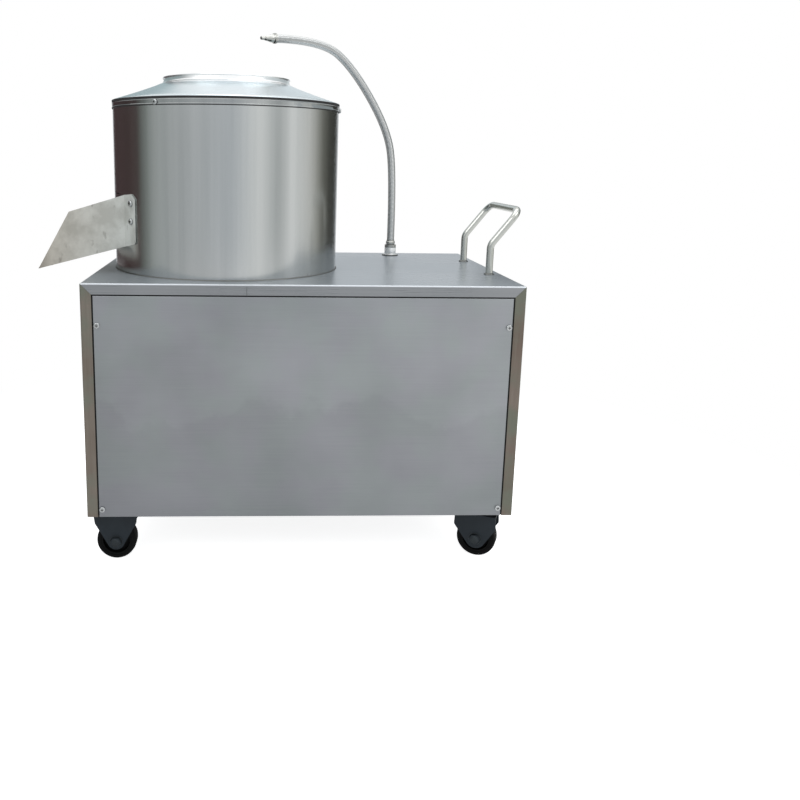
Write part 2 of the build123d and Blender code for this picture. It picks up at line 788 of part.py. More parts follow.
def door_hinge_straps():
    """Two straps riveted to the door, each with a joggle and a knuckle."""
    low, high = hinge_levels()
    x, y = hinge_spot()
    straps = []
    for level in (low + knuckle_height + knuckle_clearance, high):
        end = door_half_angle - 0.6
        strap = sector(drum_radius, drum_radius + strap_thickness, end - strap_span, end,
                       level, level + knuckle_height)
        strap += knuckle(level, drum_radius + strap_thickness - 1.2, door_half_angle - 2, 1.3)
        for span in (3.0, 11.0):
            rivet = crosswise(3.4, drum_radius + strap_thickness - 1, drum_radius + strap_thickness + 1.6,
                              0, level + knuckle_height / 2)
            strap += outward(end - strap_span + span) * rivet
        strap -= disc(hinge_pin_radius + seat_gap / 2, level - 1, level + knuckle_height + 1, x, y)
        straps.append(drum_place(strap))
    return straps


def hinge_pin():
    """Hinge pin with a round head; it turns with the door."""
    low, high = hinge_levels()
    x, y = hinge_spot()
    top = high + 2 * knuckle_height + knuckle_clearance
    pin = disc(hinge_pin_radius, low - 4, top + 1, x, y)
    pin += disc(hinge_pin_radius + 2, top + 0.3, top + 3, x, y)
    return drum_place(pin)


def latch_lever():
    """Latch plate with its tongue hanging down and a turned knob on the arm."""
    back = drum_radius + strap_thickness + 1
    front = back + latch_plate
    boss = crosswise(latch_pivot_radius + 4.5, back, front)
    tongue = block((back, front), (-tongue_width / 2, tongue_width / 2), (-tongue_length, 0))
    tongue = fillet(tongue.edges().filter_by(Axis.X).group_by(Axis.Z)[0], 5.0)
    arm = block((back, front), (-latch_arm, 0), (-tongue_width / 2 + 1, tongue_width / 2 - 1))
    arm += crosswise(tongue_width / 2 - 1, back, front, -latch_arm)
    lever = boss + tongue + arm
    lever -= crosswise(latch_pivot_radius + running_play, back - 5, front + 5)
    profile = [
        (0, front - 0.5), (knob_radius * 0.55, front - 0.5), (knob_radius * 0.5, front + 7),
        (knob_radius * 0.9, front + 14), (knob_radius, front + 22), (knob_radius * 0.8, front + knob_length - 2),
        (knob_radius * 0.4, front + knob_length), (0, front + knob_length),
    ]
    lever += Pos(0, -latch_arm, 0) * Rot(0, 90, 0) * turned(profile)
    return drum_place(Pos(0, 0, latch_level) * outward(latch_angle) * lever)


# ---------------------------------------------------------------- chute

def discharge_chute():
    """Sloping trough with two cheeks whose ears wrap onto the drum."""
    half = chute_width / 2
    t = chute_sheet
    seat = drum_radius + seat_gap
    root = -sqrt(drum_radius ** 2 - half ** 2)
    tip = root - chute_reach
    low, high = cabinet_top + chute_root_low, cabinet_top + chute_root_high
    tip_low, tip_high = cabinet_top + chute_tip_low, cabinet_top + chute_tip_high
    cheek_line = [(tip, tip_low), (root - chute_top_reach, tip_high), (root + 4, high + 1), (root + 4, low + 1)]
    profile = Plane.XZ * make_face(Polyline(*cheek_line, close=True))
    cheek = Pos(0, -half + t, 0) * extrude(profile, t)
    slope = (low - tip_low) / chute_reach
    drop = t * sqrt(1 + slope ** 2)
    inner_root = root + 4
    floor_line = [(tip, tip_low), (inner_root, low + 4 * slope), (inner_root, low + 4 * slope + drop),
                  (tip, tip_low + drop)]
    floor_face = Plane.XZ * make_face(Polyline(*floor_line, close=True))
    chute = cheek + mirror(cheek, Plane.XZ) + Pos(0, half - t, 0) * extrude(floor_face, 2 * (half - t))
    cheek_angle = degrees(asin(half / seat))
    ear_edge = -(seat + t) * cos(radians(cheek_angle + ear_span))
    ear_line = [(root - 2, low - 2 * slope), (ear_edge - 3, low + 6), (ear_edge, low + 10),
                (ear_edge, high - 7.5), (ear_edge - 8, high + 1.5), (root - 2, high - 1)]
    ear_face = Plane.XZ * make_face(Polyline(*ear_line, close=True))
    prism = extrude(ear_face, drum_radius)
    ear = prism & sector(seat - 1, seat + t, -cheek_angle - ear_span - 3, -cheek_angle + 0.35, low - 10, high + 10)
    for angle, height in ear_bolt_places():
        if angle < 0:
            hole = crosswise(ear_bolt_radius + screw_play, drum_inner - 4, seat + t + 2, 0, height)
            ear -= outward(angle) * hole
    chute += ear
    chute += mirror(ear, Plane.XZ)
    chute -= disc(seat, cabinet_top - 10, rim_top)
    return drum_place(chute)


def chute_bolts():
    """Four round-head bolts through the chute's ears."""
    face = drum_radius + seat_gap + chute_sheet
    length = face - drum_inner
    bolts = []
    for angle, height in ear_bolt_places():
        head = Pos(face, 0, 0) * pan_screw(ear_bolt_radius, 6.0, 4.0, length)
        bolts.append(drum_place(Pos(0, 0, height) * outward(angle) * head))
    return bolts


# ---------------------------------------------------------------- turntable and drive

def turntable():
    """Cast turntable: a dished disc with tapered half-round waves and paddles below."""
    profile = [
        (shaft_radius + seat_gap / 2, turntable_low - hub_depth), (hub_radius, turntable_low - hub_depth),
        (hub_radius + 6, turntable_low), (turntable_radius - 3, turntable_low),
        (turntable_radius, turntable_low + 3), (turntable_radius, turntable_top - 2),
        (turntable_radius - 2, turntable_top), (shaft_radius + seat_gap / 2, turntable_top),
    ]
    table = turned(profile)
    reach = turntable_radius - 2
    lay = Pos(wave_inner, 0, turntable_top) * Rot(0, 90, 0)
    base = (Align.CENTER, Align.CENTER, Align.MIN)
    wave = lay * Cone(wave_inner_height, wave_outer_height, reach - wave_inner, align=base)
    wave += Pos(wave_inner, 0, turntable_top) * Sphere(wave_inner_height)
    crest = turntable_top + wave_outer_height
    slab = make_face(Polyline((0, turntable_low + 4), (reach, turntable_low + 4), (reach, crest), (0, crest), close=True))
    brow = slab.vertices().sort_by_distance(Vertex(reach, crest, 0))[0]
    wave &= revolve(Plane.XZ * fillet(brow, wave_end), Axis.Z)
    for index in range(wave_count):
        table += Rot(0, 0, index * 360 / wave_count) * wave
    for sign in (-1, 1):
        span = (hub_radius - 2, turntable_radius - 12)
        paddle = block(span, (-paddle_thickness / 2, paddle_thickness / 2),
                       (turntable_low - paddle_depth, turntable_low + 1))
        table += Rot(0, 0, 90 - 90 * sign) * paddle
    return drum_place(table)


def turntable_cap():
    """Domed cap that screws onto the shaft and clamps the turntable."""
    bore = shaft_radius + seat_gap / 2
    profile = [
        (bore, turntable_top), (cap_radius, turntable_top), (cap_radius - 1.5, turntable_top + 8),
        (cap_radius - 9, turntable_top + 17), (cap_radius - 20, turntable_top + 23.5),
        (10, turntable_top + cap_height), (0, turntable_top + cap_height),
        (0, turntable_top + cap_height - 8), (bore, turntable_top + cap_height - 8),
    ]
    return drum_place(turned(profile))


def main_shaft():
    """Stepped shaft from the pulley up to the turntable."""
    low = belt_plane - pulley_half - 10
    step = belt_plane + pulley_half + 5
    top = turntable_top + cap_height - 9
    profile = [
        (0, low), (shaft_nose_radius - 1, low), (shaft_nose_radius, low + 1), (shaft_nose_radius, step),
        (shaft_radius, step), (shaft_radius, top - 1.5), (shaft_radius - 1.5, top), (0, top),
    ]
    return drum_place(turned(profile))


def housing_bolt_spots():
    """Bolt positions of the housing flange, on the two bearers."""
    reach = bearer_spacing / 2 - housing_bolt_inset
    across = sqrt((housing_bolt_circle / 2) ** 2 - reach ** 2)
    return [(drum_x + a * reach, b * across) for a in (-1, 1) for b in (-1, 1)]


def bearing_housing():
    """Cast housing with a flange under the bearers and four ribs."""
    bore = bearing_outer + 0.02
    seal_seat = housing_top - seal_height - 4
    profile = [
        (bore, housing_low), (housing_radius + 4, housing_low), (housing_radius + 4, housing_low + 22),
        (housing_radius, housing_low + 26), (housing_radius, flange_top - housing_flange - 4),
        (housing_radius + 4, flange_top - housing_flange), (flange_radius, flange_top - housing_flange),
        (flange_radius, flange_top), (housing_radius, flange_top), (housing_radius, housing_top),
        (seal_outer + 0.02, housing_top), (seal_outer + 0.02, seal_seat), (bore, seal_seat),
    ]
    housing = turned(profile)
    rib_low = housing_low + 26
    rib_line = Polyline((housing_radius - 2, rib_low), (housing_radius + 3, rib_low),
                        (flange_radius - 8, flange_top - housing_flange + 1),
                        (housing_radius - 2, flange_top - housing_flange + 1), close=True)
    rib = extrude(Plane.XZ * make_face(rib_line), 3, both=True)
    for index in range(4):
        housing += Rot(0, 0, index * 90) * rib
    for x, y in housing_bolt_spots():
        housing -= disc(drive_bolt + screw_play, flange_top - housing_flange - 1, flange_top + 1, x - drum_x, y)
    return drum_place(housing)


def shaft_bearings():
    """Two sealed ball bearings, each with a recessed shield."""
    bearings = []
    inner = shaft_radius + running_play
    for low in (housing_low + 6, housing_top - seal_height - 4 - bearing_width):
        high = low + bearing_width
        race_in, race_out = inner + 5, bearing_outer - 5
        profile = [
            (inner, low), (race_in, low), (race_in, low + 1), (race_out, low + 1), (race_out, low),
            (bearing_outer, low), (bearing_outer, high), (race_out, high), (race_out, high - 1),
            (race_in, high - 1), (race_in, high), (inner, high),
        ]
        bearings.append(drum_place(turned(profile)))
    return bearings


def shaft_seal():
    """Rubber lip seal in the neck of the housing."""
    inner = shaft_radius + running_play
    low = housing_top - seal_height
    profile = [
        (inner, low), (seal_outer, low), (seal_outer, housing_top), (seal_outer - 4, housing_top),
        (seal_outer - 5, housing_top - 4), (inner + 3, housing_top - 4), (inner, housing_top - 1),
    ]
    return drum_place(turned(profile))


def pulley(radius, bore, hub, hub_low, hub_high, web):
    """Two-groove V-belt pulley about its own axis; a web where it is given."""
    low, high = belt_plane - pulley_half, belt_plane + pulley_half
    flank = tan(radians(belt_flank))
    outline = [(bore, hub_low), (hub, hub_low)]
    rim = radius - groove_depth - 6
    if web:
        outline += [(hub, belt_plane - web / 2), (rim, belt_plane - web / 2), (rim, low)]
    else:
        outline += [(hub, low)]
    outline += [(radius, low)]
    for index in range(belt_count):
        centre = belt_plane + (index - (belt_count - 1) / 2) * belt_pitch
        wide = belt_half_width + belt_sink * flank + belt_clearance
        narrow = wide - groove_depth * flank
        outline += [(radius, centre - wide), (radius - groove_depth, centre - narrow),
                    (radius - groove_depth, centre + narrow), (radius, centre + wide)]
    outline += [(radius, high)]
    if web:
        outline += [(rim, high), (rim, belt_plane + web / 2), (hub, belt_plane + web / 2)]
    else:
        outline += [(hub, high)]
    outline += [(hub, hub_high), (bore, hub_high)]
    return turned(outline)


def drive_pulley():
    """Large pulley on the main shaft."""
    hub = 32.0
    wheel = pulley(drive_pulley_radius, shaft_nose_radius + seat_gap / 2, hub,
                   belt_plane - pulley_half - 6, belt_plane + pulley_half + 4.5, pulley_web)
    middle = (hub + drive_pulley_radius - groove_depth - 6) / 2
    hole_radius = (drive_pulley_radius - groove_depth - 6 - hub) / 2 - 10
    for index in range(web_holes):
        angle = 2 * pi * index / web_holes
        wheel -= disc(hole_radius, belt_plane - pulley_web, belt_plane + pulley_web,
                      middle * cos(angle), middle * sin(angle))
    return drum_place(wheel)


def motor_pulley():
    """Small pulley on the motor shaft."""
    hub = motor_pulley_radius - groove_depth - 4
    wheel = pulley(motor_pulley_radius, motor_shaft_radius + seat_gap / 2, hub,
                   belt_plane - pulley_half - 2, belt_plane + pulley_half + 6, None)
    return Pos(motor_offset, 0, 0) * wheel


def belt_section():
    """Trapezoid of a V-belt: depth along the first axis from the belt's back."""
    flank = belt_depth * tan(radians(belt_flank))
    narrow = belt_half_width - flank
    return make_face(Polyline((0, -belt_half_width), (0, belt_half_width), (-belt_depth, narrow),
                              (-belt_depth, -narrow), close=True))


def drive_belts():
    """V-belts: an arc round each pulley and two straight runs."""
    span = motor_offset - drum_x
    big = drive_pulley_radius - belt_sink
    small = motor_pulley_radius - belt_sink
    tilt = degrees(asin((big - small) / span))
    run = sqrt(span ** 2 - (big - small) ** 2)
    upright = Plane.XZ * belt_section()
    belts = []
    for index in range(belt_count):
        level = belt_plane + (index - (belt_count - 1) / 2) * belt_pitch
        wrap_big = revolve(Pos(big, 0, 0) * upright, Axis.Z, 180 + 2 * tilt)
        wrap_small = revolve(Pos(small, 0, 0) * upright, Axis.Z, 180 - 2 * tilt)
        belt = Pos(drum_x, 0, level) * Rot(0, 0, 90 - tilt) * wrap_big
        belt += Pos(motor_offset, 0, level) * Rot(0, 0, -90 + tilt) * wrap_small
        for sign in (-1, 1):
            straight = Pos(big, 0, 0) * extrude(upright, run)
            if sign > 0:
                place = Rot(0, 0, 90 - tilt)
            else:
                straight = mirror(straight, Plane.XZ)
                place = Rot(0, 0, -90 + tilt)
            belt += Pos(drum_x, 0, level) * place * straight
        belts.append(belt)
    return belts


def motor_body():
    """Finned motor with end bell, terminal box and foot rails, shaft upwards."""
    fin_low = motor_low + fan_cover_height
    core = disc(motor_radius, fin_low, motor_top - 6)
    core += disc(motor_radius - 8, motor_top - 7, motor_top)
    bell_low = motor_top - bell_drop - bell_height
    core += disc(motor_radius + 6, bell_low, motor_top - bell_drop)
    fins = Sketch()
    for index in range(fin_count):
        fin = Pos(motor_radius + fin_height / 2 - 1, 0) * Rectangle(fin_height + 2, fin_thickness)
        fins += Rot(0, 0, index * 360 / fin_count) * fin
    core += Pos(0, 0, fin_low + 6) * extrude(fins, bell_low - fin_low - 6)
    level = (fin_low + motor_top) / 2
    feet = block((motor_radius - 20, foot_height),
                 (-foot_spacing_y / 2 - 12, foot_spacing_y / 2 + 12),
                 (level - foot_spacing_z / 2 - 12, level + foot_spacing_z / 2 + 12))
    feet -= block((motor_radius - 21, foot_height + 1), (-foot_spacing_y / 2 + 14, foot_spacing_y / 2 - 14),
                  (level - foot_spacing_z, level + foot_spacing_z))
    feet -= disc(motor_radius - 6, motor_low, motor_top)
    core += feet
    box = block((-terminal_width / 2, terminal_width / 2),
                (-motor_radius - terminal_proud, -motor_radius + 8),
                (level - terminal_height / 2, level + terminal_height / 2))
    core += fillet(box.edges().filter_by(Axis.Y), 5)
    core -= disc(motor_shaft_radius + running_play, motor_low - 1, motor_top + 1)
    core = Pos(motor_offset, 0, 0) * core
    for y, z in motor_foot_spots():
        core -= crosswise(drive_bolt + screw_play, bracket_x - 14, bracket_x + 1, y, z)
    return core


def motor_fan_cover():
    """Pressed fan cover on the motor's lower end, with its air slots."""
    wall = 2.0
    high = motor_low + fan_cover_height
    lip = motor_radius - 10
    outer = [(0, motor_low), (fan_cover_radius - 10, motor_low), (fan_cover_radius, motor_low + 10),
             (fan_cover_radius, high), (lip, high)]
    inner = [(lip, high - wall), (fan_cover_radius - wall, high - wall),
             (fan_cover_radius - wall, motor_low + 11), (fan_cover_radius - 11, motor_low + wall),
             (0, motor_low + wall)]
    cover = turned(outer + inner)
    slot = SlotOverall(fan_slot_length, fan_slot_width)
    for index in range(12):
        cut = Pos(0, 0, motor_low - 1) * Rot(0, 0, index * 30) * Pos(fan_slot_reach, 0) * slot
        cover -= extrude(cut, wall + 2)
    return Pos(motor_offset, 0, 0) * cover


def motor_shaft():
    """Motor shaft, from inside the motor up through its pulley."""
    shaft = disc(motor_shaft_radius, motor_low + fan_cover_height + 2, belt_plane + pulley_half + 8)
    return Pos(motor_offset, 0, 0) * shaft


def motor_foot_spots():
    """Bolt positions of the motor's feet, across and up."""
    level = (motor_low + fan_cover_height + motor_top) / 2
    spots = []
    for a in (-1, 1):
        for b in (-1, 1):
            spots.append((a * foot_spacing_y / 2, level + b * foot_spacing_z / 2))
    return spots


def motor_bar_edges():
    """Left faces of the motor bars' upright legs, either side of the bracket's foot."""
    return bracket_x - angle_thickness - 1, bracket_x + bracket_foot + 1


def motor_bar_starts():
    """Left edges of the two angle bars that the motor bracket stands on."""
    left, right = motor_bar_edges()
    return left, right + angle_thickness - motor_bar_leg


def bracket_bolt_spots():
    """Bolt positions of the bracket's foot."""
    left, right = motor_bar_starts()
    rows = (left + motor_bar_leg - 14, right + 14)
    return [(x, sign * (bracket_width / 2 - 22)) for x in rows for sign in (-1, 1)]


def motor_bracket():
    """Welded bracket: an upright plate, a foot and two gussets."""
    half = bracket_width / 2
    t = bracket_thickness
    top = motor_top - bracket_rise
    bracket = block((bracket_x, bracket_x + t), (-half, half), (bar_top, top))
    bracket += block((bracket_x, bracket_x + bracket_foot), (-half, half), (bar_top, bar_top + t))
    gusset_line = Polyline((bracket_x + t - 1, bar_top + t - 1), (bracket_x + bracket_foot - 6, bar_top + t - 1),
                           (bracket_x + t - 1, top - gusset_drop), close=True)
    gusset = extrude(Plane.XZ * make_face(gusset_line), 3, both=True)
    for sign in (-1, 1):
        bracket += Pos(0, sign * 30, 0) * gusset
    for y, z in motor_foot_spots():
        bracket -= crosswise(drive_bolt + screw_play, bracket_x - 1, bracket_x + t + 1, y, z)
    for x, y in bracket_bolt_spots():
        bracket -= disc(drive_bolt + screw_play, bar_top - 1, bar_top + t + 1, x, y)
    return bracket


def drive_bolts():
    """M10 hex bolts of the bearing housing, the motor's feet and the motor bracket."""
    bolts = []
    grip = housing_flange + angle_thickness
    for x, y in housing_bolt_spots():
        bolt = Rot(180, 0, 0) * hex_bolt(drive_bolt - 0.01, grip - 0.5)
        bolts.append(Pos(x, y, flange_top - housing_flange) * bolt)
    for y, z in motor_foot_spots():
        bolt = Rot(0, 90, 0) * hex_bolt(drive_bolt - 0.01, bracket_thickness + 11)
        bolts.append(Pos(bracket_x + bracket_thickness, y, z) * bolt)
    for x, y in bracket_bolt_spots():
        bolts.append(Pos(x, y, bar_top + bracket_thickness)
                     * hex_bolt(drive_bolt - 0.01, bracket_thickness + angle_thickness + 4))
    return bolts


# ---------------------------------------------------------------- spray hose and water line

def hose_plane():
    """Upright plane from the hose's foot towards the drum's axis."""
    direction = Vector(drum_x - hose_x, -hose_y, 0).normalized()
    return Plane(origin=(hose_x, hose_y, cabinet_top), x_dir=direction, z_dir=direction.cross(Vector(0, 0, 1)))


def hose_end():
    """Where the nozzle starts and the way it points, in the hose's plane."""
    last, before = Vector(*hose_line[-1]), Vector(*hose_line[-2])
    along = (last - before).normalized()
    return last - along * nozzle_length, along


def hose_radii(points):
    """Bend radius at each inner point, as large as the runs beside it allow."""
    radii = []
    for before, point, after in zip(points, points[1:], points[2:]):
        first, second = point - before, after - point
        half_turn = radians(first.get_angle(second)) / 2
        radii.append(0.45 * min(first.length, second.length) / tan(half_turn))
    return radii


def spray_hose():
    """Flexible metal gooseneck on a spigot that turns in the socket."""
    start, along = hose_end()
    points = [Vector(*point) for point in hose_line[:-1]] + [start]
    points[0] = points[0] + Vector(0, 0.4)
    plane = hose_plane()
    path = FilletPolyline(*points, radius=hose_radii(points))
    placed = plane * path
    foot = Plane(origin=(hose_x, hose_y, cabinet_top + socket_height + 0.4),
                 z_dir=placed.tangent_at(0))
    hose = sweep(foot * Circle(hose_radius), placed)
    spigot = disc(socket_bore, cabinet_top + socket_height - 14, cabinet_top + socket_height + 3, hose_x, hose_y)
    collar = disc(hose_radius + 2, cabinet_top + socket_height + 0.4, cabinet_top + socket_height + 9, hose_x, hose_y)
    return hose + spigot + collar


def spray_nozzle():
    """Collar, taper and tip at the end of the hose."""
    start, along = hose_end()
    profile = [
        (0, 0), (hose_radius + 1.5, 0), (hose_radius + 1.5, 6), (hose_radius - 0.5, 7),
        (hose_radius - 0.5, 12), (nozzle_tip + 1, 27), (nozzle_tip, 28), (nozzle_tip, nozzle_length),
        (1.5, nozzle_length), (1.5, nozzle_length - 8), (0, nozzle_length - 8),
    ]
    plane = hose_plane()
    origin = plane.from_local_coords(start)
    direction = plane.from_local_coords(start + along) - origin
    return Plane(origin=origin, z_dir=direction) * turned(profile)


def hose_socket():
    """Turned socket with a flange on the top plate, a stem through it and a nut below."""
    top = cabinet_top + socket_height
    socket = disc(socket_radius + 6, cabinet_top, cabinet_top + 2.5, hose_x, hose_y)
    socket += disc(socket_radius, cabinet_top + 2, top - 6, hose_x, hose_y)
    socket += disc(socket_radius + 1, top - 6.5, top, hose_x, hose_y)
    stem_low = frame_top - 24
    socket += disc(socket_stem, stem_low, cabinet_top + 1, hose_x, hose_y)
    socket += hexagon(19, frame_top - 9, frame_top, hose_x, hose_y)
    socket -= disc(socket_bore + running_play, stem_low + 4, top + 1, hose_x, hose_y)
    return socket


def water_pipe():
    """Pipe from the valve on the rear panel up to the socket."""
    top = frame_top - 24
    path = FilletPolyline((hose_x, hose_y, top), (hose_x, hose_y, valve_level),
                          (hose_x, half_depth, valve_level), radius=pipe_bend)
    start = Plane(origin=(hose_x, hose_y, top), z_dir=(0, 0, -1))
    return sweep(start * Circle(pipe_radius), path)


def ball_valve():
    """Ball valve on the rear panel, with a threaded inlet."""
    start = half_depth
    valve = lying(pipe_radius + 8, start, start + 3, hose_x, valve_level)
    hexes = ((start + 3, start + 15), (start + valve_length - 12, start + valve_length))
    for low, high in hexes:
        nut = extrude(RegularPolygon(13.5, 6, major_radius=False), high - low)
        valve += Pos(hose_x, low, valve_level) * Rot(-90, 0, 0) * nut
    valve += lying(valve_body_radius - 3, start + 14, start + valve_length - 11, hose_x, valve_level)
    valve += Pos(hose_x, start + valve_length / 2, valve_level) * Sphere(valve_body_radius + 2)
    end = start + valve_length
    inlet = lying(inlet_radius, end - 1, end + inlet_length, hose_x, valve_level)
    valve += inlet
    valve -= lying(pipe_radius - 1, end - 14, end + inlet_length + 1, hose_x, valve_level)
    stem_top = valve_level + valve_body_radius + 12
    valve += disc(valve_stem_radius, valve_level, stem_top, hose_x, start + valve_length / 2)
    valve += disc(valve_stem_radius + 4, valve_level, stem_top - 6, hose_x, start + valve_length / 2)
    return valve


def valve_lever():
    """Cranked lever with a vinyl grip, across the pipe when the valve is shut."""
    stem_x, stem_y = hose_x, half_depth + valve_length / 2
    low = valve_level + valve_body_radius + 6.4
    line = Polyline((12, low), (-14, low), (-26, low + 12), (-valve_lever_length, low + 12),
                    (-valve_lever_length, low + 15), (-27, low + 15), (-15, low + 3), (12, low + 3), close=True)
    lever = extrude(Plane.XZ * make_face(line), 7, both=True)
    lever += block((-valve_lever_length - 2, -valve_lever_length + valve_grip_length), (-8.5, 8.5),
                   (low + 12 - grip_wall, low + 15 + grip_wall))
    lever = fillet(lever.edges().filter_by(Axis.X).group_by(Axis.Z)[-1], 2)
    lever -= disc(valve_stem_radius + running_play, low - 5, low + 20)
    return Pos(stem_x, stem_y, 0) * lever


# ---------------------------------------------------------------- switch box

def button_level(index):
    """Height of the start (1) or stop (-1) button."""
    return box_low + box_height / 2 + index * button_spacing / 2


def switch_box():
    """Moulded box on the right panel with a collar for each button."""
    box = block((half_width, half_width + box_proud), (-box_width / 2, box_width / 2),
                (box_low, box_low + box_height))
    box = fillet(box.edges().filter_by(Axis.X), 10)
    box = fillet(box.edges().group_by(Axis.X)[-1], 3)
    seam = half_width + box_proud - 16
    groove = block((seam, seam + 1.2), (-box_width, box_width), (box_low - 5, box_low + box_height + 5))
    core = block((seam - 1, seam + 3), (-box_width / 2 + 1, box_width / 2 - 1),
                 (box_low + 1, box_low + box_height - 1))
    box -= groove - fillet(core.edges().filter_by(Axis.X), 9)
    face = half_width + box_proud
    for index in (-1, 1):
        collar = crosswise(button_radius + 6, face - 1, face + 4, 0, button_level(index))
        box += collar
        box -= crosswise(button_radius + 1, face + 0.5, face + 5, 0, button_level(index))
        box -= crosswise(button_stem + 0.4, face - 22, face + 5, 0, button_level(index))
    for y in (-1, 1):
        for z in (-1, 1):
            hole_y = y * (box_width / 2 - 11)
            hole_z = box_low + box_height / 2 + z * (box_height / 2 - 11)
            box -= crosswise(4, face - 2.5, face + 1, hole_y, hole_z)
    box -= disc(gland_radius - 2, box_low - 1, box_low + 12, half_width + box_proud / 2)
    box -= disc(gland_bore, box_low + 11, box_low + 11 + gland_length, half_width + box_proud / 2)
    return box


def push_button(index):
    """Round push button with a stem in the box."""
    face = half_width + box_proud
    level = button_level(index)
    head = crosswise(button_radius, face + 5.0, face + 5.0 + button_proud, 0, level)
    head = fillet(head.edges().group_by(Axis.X)[-1], 2.5)
    return head + crosswise(button_stem, face - 12, face + 6, 0, level)


def cable_gland():
    """Cable gland in the underside of the switch box."""
    x = half_width + box_proud / 2
    gland = hexagon(22, box_low - 7, box_low, x)
    gland += disc(gland_radius - 2.1, box_low - 8, box_low + 10, x)
    nose = Cone(gland_radius - 3, gland_radius - 0.5, gland_length - 17,
                align=(Align.CENTER, Align.CENTER, Align.MIN))
    gland += Pos(x, 0, box_low - gland_length + 10) * nose
    gland -= disc(gland_bore, box_low - gland_length, box_low + 11, x)
    return gland


# ---------------------------------------------------------------- casters

def cheek_face(left, right, top, taper, end_radius, axle_x):
    """Cheek outline: a straight top, sloping shoulders and a round end about the axle."""
    shoulder = top - shoulder_drop
    end = Pos(axle_x, wheel_radius) * Circle(end_radius)
    crown = Polyline((left, top), (left - taper, shoulder), (right + taper, shoulder), (right, top), close=True)
    return make_hull(end.edges() + make_face(crown).edges())


def wheel():
    """Wheel along Y about its own centre: a cored hub and a rubber tyre."""
    inner = wheel_radius - tyre_thickness
    half = wheel_width / 2
    web = 5.0
    rim = inner - 4
    hub = 12.0
    hub_half = hub_width / 2 - side_play
    bore = axle_radius + running_play
    core_line = [
        (bore, -hub_half), (hub, -hub_half), (hub, -web), (rim, -web), (rim, -half + 1), (inner, -half + 1),
        (inner, half - 1), (rim, half - 1), (rim, web), (hub, web), (hub, hub_half), (bore, hub_half),
    ]
    seat = inner + seat_gap / 2
    tyre_line = [
        (seat, -half), (wheel_radius - 3, -half), (wheel_radius - 0.8, -half + 3), (wheel_radius, -half + 8),
        (wheel_radius, half - 8), (wheel_radius - 0.8, half - 3), (wheel_radius - 3, half), (seat, half),
    ]
    return [Rot(-90, 0, 0) * turned(line) for line in (core_line, tyre_line)]


def axle():
    """Axle bolt along Y with a hex head and nut outside the cheeks."""
    outside = hub_width / 2 + cheek_thickness
    bolt = lying(axle_radius - 0.01, -outside - 4, outside + 4)
    nut = extrude(RegularPolygon(nut_width / 2, 6, major_radius=False), 6)
    for sign in (-1, 1):
        base = -outside - 6 if sign < 0 else outside
        bolt += Pos(0, base, 0) * Rot(-90, 0, 0) * nut
    return bolt


def cheek_pair(face):
    """Two cheeks either side of the wheel, with the axle's hole."""
    inner = hub_width / 2
    cheek = Pos(0, -inner, 0) * (Plane.XZ * extrude(face, cheek_thickness))
    return cheek + mirror(cheek, Plane.XZ)


def fixed_bracket():
    """Pressed bracket of a fixed caster about its own centre: plate and cheeks."""
    half = fixed_cheek_width / 2
    face = cheek_face(-half, half, caster_height, fixed_taper, fixed_cheek_end, 0)
    bracket = cheek_pair(face)
    outside = hub_width / 2 + cheek_thickness
    bracket += block((-half, half), (-outside, outside),
                     (caster_height - caster_plate_thickness, caster_height))
    bracket -= lying(axle_radius + seat_gap / 2, -outside - 1, outside + 1, 0, wheel_radius)
    for x, y in fixed_bolt_offsets():
        bracket -= disc(caster_bolt + screw_play, caster_height - 10, caster_height + 1, x, y)
    return bracket


def fixed_bolt_offsets():
    """Bolt holes of a fixed caster's plate about its centre."""
    return [(sx * (fixed_cheek_width / 2 - 12), sy * (hub_width / 2 - 8)) for sx in (-1, 1) for sy in (-1, 1)]


def swivel_bolt_offsets():
    """Bolt holes of a swivel plate about the kingpin."""
    half = swivel_bolt_spacing / 2
    return [(sx * half, sy * half) for sx in (-1, 1) for sy in (-1, 1)]


def caster_spots():
    """Fixed casters at the left, swivel casters at the right, front and rear."""
    fixed_x = -half_width + fixed_caster_inset_x
    swivel_x = half_width - swivel_inset_x
    fixed = [(fixed_x, sign * (half_depth - fixed_caster_inset_y)) for sign in (-1, 1)]
    swivel = [(swivel_x, sign * (half_depth - swivel_inset_y)) for sign in (-1, 1)]
    return fixed, swivel


def caster_bolt_spots():
    """Every caster bolt."""
    fixed, swivel = caster_spots()
    spots = [(x + dx, y + dy) for x, y in fixed for dx, dy in fixed_bolt_offsets()]
    spots += [(x + dx, y + dy) for x, y in swivel for dx, dy in swivel_bolt_offsets()]
    return spots


def fixed_caster_brackets():
    """Both fixed brackets with their axles."""
    fixed, _ = caster_spots()
    pieces = []
    for x, y in fixed:
        pieces.append(Pos(x, y, 0) * fixed_bracket())
        pieces.append(Pos(x, y, wheel_radius) * axle())
    return pieces


def swivel_levels():
    """Top of the fork's crown, of its race ring, and underside of the head's cup."""
    crown = caster_height - 13
    return crown, crown + 3.5, crown + 3.8


def swivel_caster_heads():
    """Both swivel plates with their cup and kingpin."""
    crown, _, cup = swivel_levels()
    _, swivel = caster_spots()
    half = swivel_plate / 2
    plate = block((-half, half), (-half, half), (caster_height - caster_plate_thickness, caster_height))
    plate = fillet(plate.edges().filter_by(Axis.Z), swivel_corner)
    head = plate + disc(cup_radius, cup, caster_height - 1)
    head += disc(kingpin_radius, crown - 6, caster_height - 1)
    head += disc(kingpin_radius + 4, crown - 8, crown - cheek_thickness - 0.3)
    for x, y in swivel_bolt_offsets():
        head -= disc(caster_bolt + screw_play, cup - 1, caster_height + 1, x, y)
    return [Pos(x, y, 0) * head for x, y in swivel]


